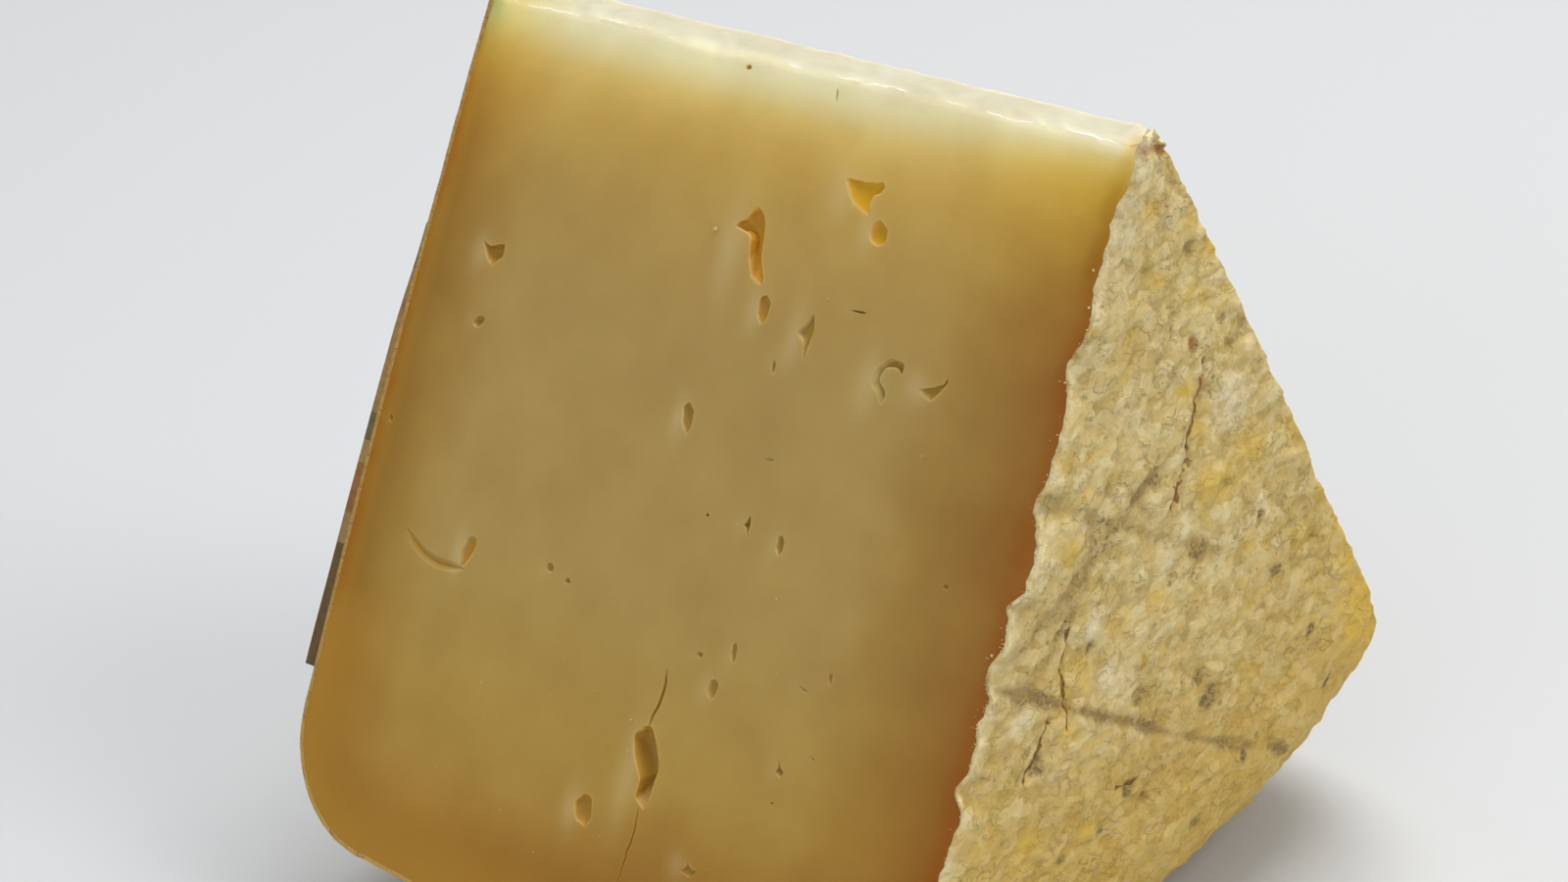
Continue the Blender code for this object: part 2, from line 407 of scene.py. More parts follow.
class NodeGraph:
    """One material's nodes, and the patterns that it draws with, kept by name."""

    def __init__(self, name: str) -> None:
        """Start an empty node material.

        Args:
            name: the real material, and how its surface was made.
        """
        self.material = bpy.data.materials.new(name)
        self.material.use_nodes = True
        self.tree = self.material.node_tree
        self.shader = self.tree.nodes["Principled BSDF"]
        self.patterns: dict[str, bpy.types.NodeSocket] = {}

    def fill(self, node: bpy.types.Node, sockets: dict) -> None:
        """Set or link a node's input sockets.

        Args:
            node: the node.
            sockets: input name or number to a value, an sRGB hex colour, a pattern's name or
                another node's output.
        """
        for name, value in sockets.items():
            if isinstance(value, str):
                value = linear(value) if value.startswith("#") else self.patterns[value]
            if isinstance(value, bpy.types.NodeSocket):
                self.tree.links.new(value, node.inputs[name])
            else:
                node.inputs[name].default_value = value

    def add(self, kind: str, sockets: dict | None = None, **settings) -> bpy.types.Node:
        """Add a node with its options and its input sockets.

        Args:
            kind: the node's type, such as ShaderNodeMath.
            sockets: what fill takes.
            settings: the node's own options.

        Returns:
            The new node.
        """
        made = self.tree.nodes.new(kind)
        for name, value in settings.items():
            setattr(made, name, value)
        self.fill(made, sockets or {})
        return made

    def read(self, place: bpy.types.NodeSocket, marks: Sequence[str], noises: Sequence[Noise]) -> None:
        """Keep the patterns that a finish starts from: the mesh's attributes and its noises.

        Args:
            place: the coordinates that the noises read.
            marks: names of the attributes.
            noises: the noises.
        """
        for name in marks:
            self.patterns[name] = self.add("ShaderNodeAttribute", attribute_name=name).outputs["Fac"]
        for noise in noises:
            sockets = {"Vector": place, "Scale": 1 / noise.size, "Detail": noise.detail,
                       "Roughness": noise.roughness, "Distortion": noise.distortion}
            self.patterns[noise.name] = self.add("ShaderNodeTexNoise", sockets).outputs["Fac"]

    def mask(self, *windows: Window) -> bpy.types.NodeSocket:
        """Make a mask, which is the product of its windows.

        Args:
            windows: the windows, one at least.

        Returns:
            The mask's socket.
        """
        product = None
        for window in windows:
            value = self.patterns[window.pattern]
            if not window.plain:
                sockets = {"Value": value, "From Min": window.low, "From Max": window.high,
                           "To Min": window.bottom, "To Max": window.top}
                kind = "SMOOTHSTEP" if window.smooth else "LINEAR"
                value = self.add("ShaderNodeMapRange", sockets, interpolation_type=kind).outputs[0]
            if product is not None:
                value = self.add("ShaderNodeMath", {0: product, 1: value}, operation="MULTIPLY").outputs[0]
            product = value
        return product

    def paint(self, *layers: Layer) -> bpy.types.NodeSocket:
        """Lay tones over one another, the first one bare.

        Args:
            layers: the layers from the lowest up, two at least.

        Returns:
            The socket of the colour that results.
        """
        colour = None
        for layer in layers:
            tone = layer.tone
            if isinstance(tone, Ramp):
                low, high = tone.over.low, tone.over.high
                made = self.add("ShaderNodeValToRGB", {"Fac": self.mask(tone.over)})
                made.color_ramp.interpolation = "CONSTANT" if tone.stepped else "LINEAR"
                elements = made.color_ramp.elements
                while len(elements) < len(tone.stops):
                    elements.new(0.5)
                for element, (value, code) in zip(elements, tone.stops):
                    element.position = (value - low) / (high - low)
                    element.color = linear(code)
                tone = made.outputs["Color"]
            if colour is None:
                colour = tone
                continue
            sockets = {0: self.mask(*layer.windows) if layer.windows else layer.share, 6: colour, 7: tone}
            blend = layer.blend.value
            colour = self.add("ShaderNodeMix", sockets, data_type="RGBA", blend_type=blend).outputs[2]
        return colour


@dataclass(frozen=True)
class CutPaste:
    """Semi-hard sheep's milk paste, cut with a knife: waxy, a little translucent, faintly oily.

    It is painted nearly white at the thin end, golden below that, then tan: partly the paste's own
    paler middle, partly painted glow of light shining through the thin tip. It darkens to ochre brown
    over the last centimetres under the rind, where it has dried most. A pool of light on the lower
    left corner, a warm glow along the rind's edge, and highlights beside the eyes and along the
    crease are painted too. Stops are in mm of reach or of depth under the rind. Each sum is a name,
    an operation and its terms. The curd's grain, about 0.1 mm across, is too fine to show, so it is
    drawn coarser.
    """

    marks: tuple[str, ...] = (
        "reach_mm", "rim_mm", "left_share", "eye_highlight", "eye_mm", "amber_eye", "crease_mm", "corner",
    )
    noises: tuple[Noise, ...] = (
        Noise("mottle", 8 * MM, 4.0),
        Noise("shake", 2.2 * MM, 3.0),
        Noise("breaks", 3.5 * MM, 2.0),
        Noise("grain", 0.6 * MM, 3.0),
    )
    rim_wander: Window = Window("mottle", 0.3, 0.7, 0.8, -0.8)
    sums: tuple[tuple, ...] = (
        ("depth_mm", "ADD", "rim_mm", "rim_wander"),
        ("below_mm", "MULTIPLY_ADD", "left_share", 9.5, "reach_mm"),
        ("shaken", "MULTIPLY_ADD", "shake", -0.9, 0.5),
        ("off_scratch_glint", "ADD", "crease_mm", "shaken"),
        ("scratch_glint_mm", "ABSOLUTE", "off_scratch_glint"),
    )
    # Paler towards the thin end: partly the paste's own paler middle, partly painted glow of light through
    # the thin tip.
    by_reach: Stops = (
        (3.8, "#c9c6b0"), (4.2, "#d6d2ba"), (5.0, "#f7f2d0"), (6.5, "#f6efc0"), (8.2, "#efdfa2"),
        (10.0, "#e7cd7e"), (12.5, "#dcbc66"), (15.5, "#d0ae5c"), (20.0, "#c6a75b"), (26.0, "#bea05b"),
        (36.0, "#b99e5d"), (62.0, "#ba9f5c"), (80.0, "#bb9b4c"), (94.0, "#b69042"),
    )
    brown_rim: Stops = (
        (1.2, "#dcb67e"), (4.0, "#e0c498"), (9.0, "#ebdabb"), (13.0, "#f3e8d0"), (20.0, "#ffffff"),
    )
    # Less brown at the rim than on the right: partly the left's narrower dry zone, partly painted light on
    # the left rim.
    left_brown: Stops = (
        (1.2, "#ecd387"), (4.0, "#e3cc97"), (9.0, "#eee0bd"), (13.0, "#f8efdc"), (20.0, "#ffffff"),
    )
    golden_rim: Stops = (
        (0.5, "#dedd9c"), (1.8, "#f4eaae"), (4.0, "#fcf6c0"), (9.0, "#fffbd8"), (20.0, "#ffffff"),
    )
    left_golden: Stops = (
        (0.5, "#e4cf98"), (1.8, "#f4e2aa"), (4.0, "#fbf1c0"), (9.0, "#fffbd8"), (20.0, "#ffffff"),
    )
    veil: Stops = ((0.3, "#f4f0e9"), (0.7, "#ffffff"))
    # Warm tint within 1.8 mm of the rind: painted light, in place of the red light that scatters away under
    # the rind.
    edge_scatter_glow: Stops = ((0.0, "#ffe6b4"), (1.8, "#ffffff"))
    eye_tones: Stops = ((0.0, "#af8b36"), (0.5, "#cb9628"), (1.0, "#d8a81c"))
    # Lighter tone at the lower left corner: painted light, the glow that light thrown back from the left
    # gives there.
    corner: str = "#b4872f"
    # Lighter smudge beside each eye's left side: painted highlight.
    eye_highlight: str = "#dccb9c"
    # Near-white broken line just under the front crease: scratches that hold a painted highlight where the
    # edge catches light.
    scratch_glint: str = "#fffdf2"
    depth: Window = Window("depth_mm", 0.0, 20.0)
    left: Window = Window("left_share")
    rims: tuple[tuple[str, tuple[Layer, ...]], ...] = (
        ("brown", (Layer(Ramp(depth, brown_rim)), Layer(Ramp(depth, left_brown), (left,)))),
        ("golden", (Layer(Ramp(depth, golden_rim)), Layer(Ramp(depth, left_golden), (left,)))),
        ("rim", (Layer("golden"), Layer("brown", (Window("below_mm", 11.0, 30.0, smooth=True),)))),
    )
    layers: tuple[Layer, ...] = (
        Layer(Ramp(Window("reach_mm", 0.0, 100.0), by_reach)),
        Layer("rim", (Window("below_mm", 5.0, 12.0, smooth=True),), blend=Blend.TINT),
        Layer(Ramp(Window("mottle"), veil), blend=Blend.TINT),
        Layer(Ramp(depth, edge_scatter_glow), blend=Blend.TINT),
        # Painted pool of light on the lower left corner.
        Layer(corner, (Window("corner"),)),
        Layer(eye_highlight, (Window("eye_highlight"),)),
        # Scratches under the crease with their painted highlight.
        Layer(scratch_glint, (Window("scratch_glint_mm", 0.13, 0.04), Window("breaks", 0.44, 0.58))),
        Layer(Ramp(Window("amber_eye"), eye_tones), (Window("eye_mm", 0.1, 0.25),)),
    )
    scatter: Window = Window("rim_mm", 0.3, 3.0, 1.4 * MM, 0.21 * MM)
    scatter_colour: tuple[float, float, float] = (1.0, 0.72, 0.4)
    roughness: float = 0.44
    ior: float = 1.45
    specular: float = 0.3
    grain_strength: float = 0.1
    grain_height: float = 0.12 * MM

    def build(self) -> bpy.types.Material:
        """Make the material from the attributes that Paste.dress stores.

        Returns:
            The material.
        """
        graph = NodeGraph("knife_cut_sheep_milk_paste")
        graph.read(graph.add("ShaderNodeTexCoord").outputs["Object"], self.marks, self.noises)
        graph.patterns["rim_wander"] = graph.mask(self.rim_wander)
        for name, operation, *terms in self.sums:
            made = graph.add("ShaderNodeMath", dict(enumerate(terms)), operation=operation)
            graph.patterns[name] = made.outputs[0]
        for name, layers in self.rims:
            graph.patterns[name] = graph.paint(*layers)
        bump = {"Strength": self.grain_strength, "Distance": self.grain_height, "Height": "grain"}
        # Fat makes the paste waxy: light goes in and comes out a millimetre away, less close under
        # the rind, so that the middle glows, the rim looks dense and edges stay soft.
        graph.fill(graph.shader, {
            "Base Color": graph.paint(*self.layers),
            "Roughness": self.roughness,
            "IOR": self.ior,
            "Specular IOR Level": self.specular,
            "Subsurface Weight": 1.0,
            "Subsurface Scale": graph.mask(self.scatter),
            "Subsurface Radius": self.scatter_colour,
            "Normal": graph.add("ShaderNodeBump", bump).outputs["Normal"],
        })
        return graph.material


@dataclass(frozen=True)
class NaturalRind:
    """Dry natural rind, rubbed and aged: matt and chalky, straw cream with ochre and grey marks.

    Each sum is a name, an operation and its terms, and each mask a name and its windows. Mould dust
    and grit, about 0.05 mm across, are too fine to show, so they are drawn coarser.
    """

    marks: tuple[str, ...] = (
        "relief_mm", "fold", "pit", "amber", "bloom", "crack_side", "crack_share", "lower", "border", "stain",
        "left_border",
    )
    noises: tuple[Noise, ...] = (
        Noise("patch", 8 * MM, 4.0, 0.6),
        Noise("flake", 2.2 * MM, 5.0, 0.58, 0.15),
        Noise("grit", 0.42 * MM, 3.0, 0.6),
        Noise("cluster", 4.5 * MM, 3.0, 0.6),
        Noise("spot_cloud", 9 * MM, 2.0),
        Noise("drift", 5 * MM, 3.0, 0.55, 0.8),
        Noise("push", 2.5 * MM, 2.0),
        Noise("crinkle", 1.7 * MM, 3.0, 0.55, 0.4),
        Noise("crinkle_cloud", 3 * MM, 2.0),
        Noise("crack_shake", 1.6 * MM, 3.0, 0.6),
        Noise("crack_cloud", 2.4 * MM, 2.0),
    )
    stretch: float = 0.75
    spot_size: float = 5.5 * MM
    granule_size: float = 1.35 * MM
    granule_shift: float = 1.6 * MM
    crack_width: Window = Window("crack_cloud", 0.35, 0.6, 0.24)
    sums: tuple[tuple, ...] = (
        ("crinkle_side", "SUBTRACT", "crinkle", 0.5),
        ("crinkle_line", "ABSOLUTE", "crinkle_side"),
        ("shaken", "SUBTRACT", "crack_shake", 0.5),
        ("off_crack", "MULTIPLY_ADD", "shaken", 0.9, "crack_side"),
        ("crack_line", "ABSOLUTE", "off_crack"),
        ("crack_ratio", "DIVIDE", "crack_line", "crack_width"),
    )
    masks: tuple[tuple[str, tuple[Window, ...]], ...] = (
        ("gap", (Window("granule_edge", 0.5, 0.8), Window("cluster", 0.34, 0.58))),
        ("wrinkle_shade", (Window("crinkle_line", 0.035, 0.005), Window("crinkle_cloud", 0.44, 0.6))),
        ("dip", (Window("pit"), Window("flake", 0.3, 0.55, 1.3))),
        ("crack", (Window("crack_ratio", 1.2, 0.6, 0.85), Window("crack_share"))),
    )
    cream: str = "#d9c386"
    chalk: str = "#ddc992"
    straw: str = "#cfac58"
    ochre: str = "#d8b44e"
    pale: str = "#ebddae"
    shadow: str = "#a58b50"
    bloom: str = "#e9dcb8"
    amber: str = "#dab548"
    low: str = "#c9a23c"
    tan: str = "#a9864a"
    crease: str = "#9a8050"
    # Dark lines in the crinkle pattern's crevices: painted shade.
    wrinkle_shade: str = "#8d6d38"
    grit: str = "#7a6642"
    grey: str = "#aa9158"
    dark: str = "#6b4822"
    rust: str = "#b0783c"
    patches: Ramp = Ramp(Window("patch"), ((0.38, chalk), (0.5, straw), (0.62, chalk)))
    flakes: Ramp = Ramp(Window("flake"), ((0.32, shadow), (0.45, "#ccb476"), (0.57, "#dbc890"), (0.7, pale)))
    # Darker where the relief sinks and paler where it rises: painted shade in the hollows and painted light
    # on the bumps.
    relief_shading: Ramp = Ramp(
        Window("relief_mm", -0.45, 0.45),
        ((-0.45, "#9f8650"), (-0.135, "#c5ad6e"), (0.18, "#dac790"), (0.45, pale)),
    )
    chips: Ramp = Ramp(Window("granule"), ((0.0, shadow), (0.3, straw), (0.6, cream), (1.0, pale)))
    crack_tones: tuple[Layer, ...] = (Layer(dark), Layer(rust, (Window("grit", 0.5, 0.6),)))
    layers: tuple[Layer, ...] = (
        Layer(patches),
        Layer(flakes, share=0.62),
        Layer(relief_shading, share=0.5),
        Layer(ochre, (Window("spot", 0.42, 0.2), Window("spot_cloud", 0.46, 0.56, 0.62))),
        Layer(bloom, (Window("drift", 0.64, 0.72, 0.6),)),
        Layer(chips, share=0.36),
        Layer(shadow, (Window("gap", top=0.24),)),
        # Painted shade along the crinkle lines.
        Layer(wrinkle_shade, (Window("wrinkle_shade", top=0.32),)),
        Layer(grit, (Window("grit", 0.56, 0.66), Window("cluster", 0.48, 0.66, 0.75))),
        Layer(low, (Window("lower", top=0.78),)),
        Layer(amber, (Window("amber"), Window("flake", 0.3, 0.5, 0.75))),
        Layer(bloom, (Window("bloom"), Window("flake", 0.35, 0.55, 0.8))),
        Layer(grey, (Window("dip", 0.3, 0.9, 0.7),)),
        Layer(grit, (Window("dip", 0.4, 1.0, 0.9), Window("grit", 0.42, 0.56))),
        Layer(rust, (Window("stain"), Window("flake", 0.3, 0.5, 0.8))),
        Layer(crease, (Window("fold", 0.1), Window("flake", 0.25, 0.5, 0.85))),
        Layer(grit, (
            Window("fold", 0.15, 0.5), Window("grit", 0.5, 0.6, 0.65), Window("cluster", 0.4, 0.58),
        )),
        Layer("crack_tone", (Window("crack"),)),
        Layer(pale, (Window("border"), Window("flake", 0.35, 0.55, 0.7))),
        Layer(tan, (Window("left_border", top=0.85),)),
    )
    bumps: tuple[tuple[str, float], ...] = (
        ("grit", 0.3), ("gap", -0.35), ("wrinkle_shade", -0.2), ("crack", -0.6),
    )
    bump_height: float = 0.55 * MM
    roughness: float = 0.8
    ior: float = 1.45
    specular: float = 0.25
    scatter_weight: float = 0.25
    scatter_length: float = 0.9 * MM
    scatter_colour: tuple[float, float, float] = (1.0, 0.75, 0.45)

    def build(self) -> bpy.types.Material:
        """Make the material from the attributes that Rind.build stores.

        Returns:
            The material.
        """
        graph = NodeGraph("dry_natural_cheese_rind")
        squash = {0: graph.add("ShaderNodeTexCoord").outputs["Object"], 1: (1.0, self.stretch, 1.0)}
        place = graph.add("ShaderNodeVectorMath", squash, operation="MULTIPLY").outputs[0]
        graph.read(place, self.marks, self.noises)
        spots = graph.add("ShaderNodeTexVoronoi", {"Vector": place, "Scale": 1 / self.spot_size})
        push = graph.add("ShaderNodeCombineXYZ", {"X": "push", "Y": "patch", "Z": "flake"}).outputs[0]
        shift = {0: push, 1: (self.granule_shift,) * 3, 2: place}
        moved = graph.add("ShaderNodeVectorMath", shift, operation="MULTIPLY_ADD").outputs[0]
        granules = graph.add("ShaderNodeTexVoronoi", {"Vector": moved, "Scale": 1 / self.granule_size})
        granule = graph.add("ShaderNodeSeparateColor", {0: granules.outputs["Color"]})
        graph.patterns |= {
            "spot": spots.outputs["Distance"], "granule_edge": granules.outputs["Distance"],
            "granule": granule.outputs[0], "crack_width": graph.mask(self.crack_width),
        }
        for name, operation, *terms in self.sums:
            made = graph.add("ShaderNodeMath", dict(enumerate(terms)), operation=operation)
            graph.patterns[name] = made.outputs[0]
        for name, windows in self.masks:
            graph.patterns[name] = graph.mask(*windows)
        graph.patterns["crack_tone"] = graph.paint(*self.crack_tones)
        height = "flake"
        for name, rise in self.bumps:
            made = graph.add("ShaderNodeMath", {0: name, 1: rise, 2: height}, operation="MULTIPLY_ADD")
            height = made.outputs[0]
        bump = {"Strength": 1.0, "Distance": self.bump_height, "Height": height}
        # A dry skin of mould dust and packed grains has almost no shine, and its small crags throw
        # small shadows, so that it looks chalky and crusty beside the paste.
        graph.fill(graph.shader, {
            "Base Color": graph.paint(*self.layers),
            "Roughness": self.roughness,
            "IOR": self.ior,
            "Specular IOR Level": self.specular,
            "Subsurface Weight": self.scatter_weight,
            "Subsurface Scale": self.scatter_length,
            "Subsurface Radius": self.scatter_colour,
            "Normal": graph.add("ShaderNodeBump", bump).outputs["Normal"],
        })
        return graph.material


@dataclass(frozen=True)
class PrintedCard:
    """Thin board printed in plain rings: matt ink on uncoated card, a little fibrous.

    The rings' stops are in mm of reach.
    """

    rings: Stops = (
        (31.0, "#6c6a3c"), (36.0, "#a07c46"), (39.5, "#976a3e"), (41.0, "#a27e46"), (52.8, "#6c6236"),
        (56.0, "#a5854c"), (58.4, "#98642f"), (64.3, "#9c7d48"), (67.8, "#6a4f26"),
    )
    outer_reach: float = 82.0
    # Board fibres are about 0.03 mm across, too fine to show, so they are drawn coarser.
    fibre: Noise = Noise("fibre", 0.8 * MM, 4.0)
    wear: Stops = ((0.35, "#8c8c8c"), (0.65, "#f2f2f2"))
    wear_share: float = 0.35
    roughness: float = 0.62
    ior: float = 1.5
    fibre_strength: float = 0.3
    fibre_height: float = 0.05 * MM

    def build(self) -> bpy.types.Material:
        """Make the material from the mesh's reach_mm.

        Returns:
            The material.
        """
        graph = NodeGraph("matt_printed_card")
        graph.read(graph.add("ShaderNodeTexCoord").outputs["Object"], ("reach_mm",), (self.fibre,))
        rings = Ramp(Window("reach_mm", 0.0, self.outer_reach), self.rings, stepped=True)
        wear = Ramp(Window("fibre"), self.wear)
        bump = {"Strength": self.fibre_strength, "Distance": self.fibre_height, "Height": "fibre"}
        # Ink that sank into uncoated board has no gloss, and the fibres mottle its colour.
        graph.fill(graph.shader, {
            "Base Color": graph.paint(Layer(rings), Layer(wear, share=self.wear_share, blend=Blend.TINT)),
            "Roughness": self.roughness,
            "IOR": self.ior,
            "Normal": graph.add("ShaderNodeBump", bump).outputs["Normal"],
        })
        return graph.material


@dataclass(frozen=True)
class StudioFloor:
    """Matt pale paper sweep."""

    tone: str = "#c6c9cd"
    roughness: float = 0.9

    def build(self) -> bpy.types.Material:
        """Make the material.

        Returns:
            The material.
        """
        graph = NodeGraph("matt_paper_sweep")
        # Uncoated paper scatters light evenly, so that only a soft shadow shows on it.
        graph.fill(graph.shader, {"Base Color": self.tone, "Roughness": self.roughness})
        return graph.material


def grid_faces(index: Array) -> Array:
    """Quads over a grid of vertex numbers, each (i, j), (i, j + 1), (i + 1, j + 1), (i + 1, j)."""
    corners = (index[:-1, :-1], index[:-1, 1:], index[1:, 1:], index[1:, :-1])
    return np.stack([corner.ravel() for corner in corners], axis=1)


def vertex_numbers(points: Array, start: int = 0) -> Array:
    """Vertex numbers for a grid of points, counted from start."""
    return start + np.arange(points[..., 0].size).reshape(points.shape[:-1])


def make_piece(name: str, points: Array, faces: list[list[int]], sharp: float = 40.0) -> bpy.types.Object:
    """Make a closed mesh object with its faces turned outwards.

    Args:
        name: the piece's name.
        points: row-frame vertices, one a row.
        faces: vertex numbers of each face.
        sharp: angle in degrees past which an edge is shaded sharp.

    Returns:
        The object, linked into the scene.
    """
    mesh = bpy.data.meshes.new(name)
    mesh.from_pydata(points.tolist(), [], faces)
    work = bmesh.new()
    work.from_mesh(mesh)
    bmesh.ops.recalc_face_normals(work, faces=work.faces)
    work.to_mesh(mesh)
    work.free()
    mesh.shade_smooth()
    mesh.set_sharp_from_angle(angle=math.radians(sharp))
    obj = bpy.data.objects.new(name, mesh)
    bpy.context.scene.collection.objects.link(obj)
    return obj


def vertices(obj: bpy.types.Object) -> Array:
    """Read the vertices of an object's mesh.

    Args:
        obj: the object.

    Returns:
        Its vertices, one a row.
    """
    flat = np.zeros(len(obj.data.vertices) * 3)
    obj.data.vertices.foreach_get("co", flat)
    return flat.reshape(-1, 3)


def store(obj: bpy.types.Object, name: str, values: Array) -> None:
    """Keep one number for each vertex as a named attribute of the mesh."""
    made = obj.data.attributes.new(name, "FLOAT", "POINT")
    made.data.foreach_set("value", np.asarray(values, np.float32).ravel())


def settle(obj: bpy.types.Object, material: bpy.types.Material, slot: str, *nodes: str) -> None:
    """Dress a finished piece, set it on its body, and hide the CAD nodes that it replaces.

    Args:
        obj: the piece.
        material: its finish.
        slot: not used.
        nodes: the CAD nodes that the piece replaces.
    """
    obj.data.materials.clear()
    obj.data.materials.append(material)
    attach(obj, BODY)
    if nodes:
        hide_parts(*nodes)
    log.info("%s: %d vertices, %d faces", obj.name, len(obj.data.vertices), len(obj.data.polygons))


def right_share(normal_x: Array) -> Array:
    """Share of the skin that counts as the right face, fading out round its edge."""
    return smoothstep((normal_x - 0.2) / 0.4)


@dataclass(frozen=True)
class RindMarks:
    """Marks of the rough right face, as (y, drop, size) in mm, drop being the depth below the axis.

    Each fold is its share, its half width in mm and its path. Each crack is a path, given from its
    upper to its lower end unless it runs level.
    """

    amber: Spots = (
        (-0.3, 11.9, 1.1), (0.9, 19.5, 0.9), (6.1, 22.9, 1.2), (7.7, 44.4, 2.4), (11.2, 45.6, 2.0),
        (15.5, 44.0, 2.6), (-15.8, 32.6, 1.5), (-15.5, 43.1, 1.6), (-1.3, 53.9, 1.8), (-14.8, 57.0, 2.4),
        (-16.9, 59.1, 1.2), (-17.3, 62.3, 1.2), (-23.9, 72.5, 1.6), (-13.6, 75.8, 1.4), (9.8, 19.0, 1.6),
        (6.4, 14.9, 1.3), (8.0, 24.0, 1.2), (26.5, 47.0, 1.5), (29.6, 53.5, 1.7), (31.8, 58.5, 1.9),
        (33.6, 63.5, 2.2), (34.4, 68.5, 2.2), (33.6, 73.0, 1.8), (38.0, 72.0, 4.0), (41.0, 79.0, 4.0),
        (24.0, 44.0, 2.4), (4.5, 33.0, 1.4), (3.0, 6.5, 1.2),
    )
    bloom: Spots = (
        (-4.3, 32.9, 1.4), (3.9, 47.7, 1.6), (0.6, 51.4, 1.6), (-12.3, 52.7, 1.8), (-9.4, 59.6, 2.2),
        (-24.7, 58.3, 1.8), (-3.5, 12.5, 1.6), (12.0, 36.5, 2.6),
    )
    pits: Spots = (
        (6.3, 18.0, 0.8), (6.1, 28.0, 1.0), (-12.5, 55.0, 0.9), (-4.9, 63.8, 1.3), (6.0, 66.5, 1.2),
        (7.6, 69.6, 1.5), (-4.0, 76.3, 0.7), (-11.3, 76.8, 0.9), (-22.2, 64.0, 1.4), (-18.3, 77.1, 0.8),
        (5.6, 84.1, 1.1), (1.0, 52.8, 0.8), (6.0, 51.3, 1.7), (-6.8, 73.9, 1.2), (-4.1, 7.2, 0.9),
        (-5.4, 10.2, 0.8), (1.6, 5.4, 1.3), (10.8, 27.0, 0.8), (20.0, 60.0, 1.0), (26.0, 70.0, 0.9),
        (14.0, 80.0, 0.9), (-27.0, 80.0, 1.0), (17.0, 52.0, 0.8), (30.0, 78.0, 1.1),
    )
    stains: Spots = (
        (-3.8, 7.3, 0.5), (-4.95, 9.5, 0.55), (7.2, 33.0, 0.8), (2.6, 43.2, 0.9), (6.0, 28.0, 0.7),
    )
    folds: tuple[tuple[float, float, Path], ...] = (
        (0.45, 1.0, ((-19.3, 35.7), (-11.7, 40.6), (-7.7, 43.1), (0.4, 47.8), (8.7, 52.9))),
        (1.0, 0.6, ((-29.0, 52.2), (-22.2, 56.2), (-11.2, 63.2), (1.9, 71.6), (17.7, 80.6), (23.0, 83.4))),
        (0.55, 1.1, ((-26.5, 51.2), (-20.8, 49.4), (-15.2, 47.0), (-9.9, 44.4), (-4.7, 41.4), (-0.6, 39.6),
                     (4.9, 37.6))),
        (0.6, 0.6, ((-6.0, 42.4), (-1.1, 39.7))),
        (0.45, 0.8, ((-25.3, 55.8), (-18.0, 52.5), (-12.9, 48.0))),
        (0.42, 0.8, ((-9.7, 36.6), (-7.5, 41.2))),
    )
    cracks: tuple[Path, ...] = (
        ((8.2, 30.5), (7.6, 32.4), (6.7, 33.9), (5.8, 36.2), (4.8, 38.1), (4.6, 40.2), (3.7, 41.5),
         (2.6, 42.8), (1.7, 45.4)),
        ((-15.5, 51.3), (-17.0, 55.1), (-17.1, 57.3), (-16.7, 59.8), (-17.4, 62.2)),
        ((-19.6, 59.8), (-22.3, 63.5), (-24.4, 65.2)),
        ((-9.0, 73.0), (-6.0, 74.0), (-4.6, 73.6)),
    )


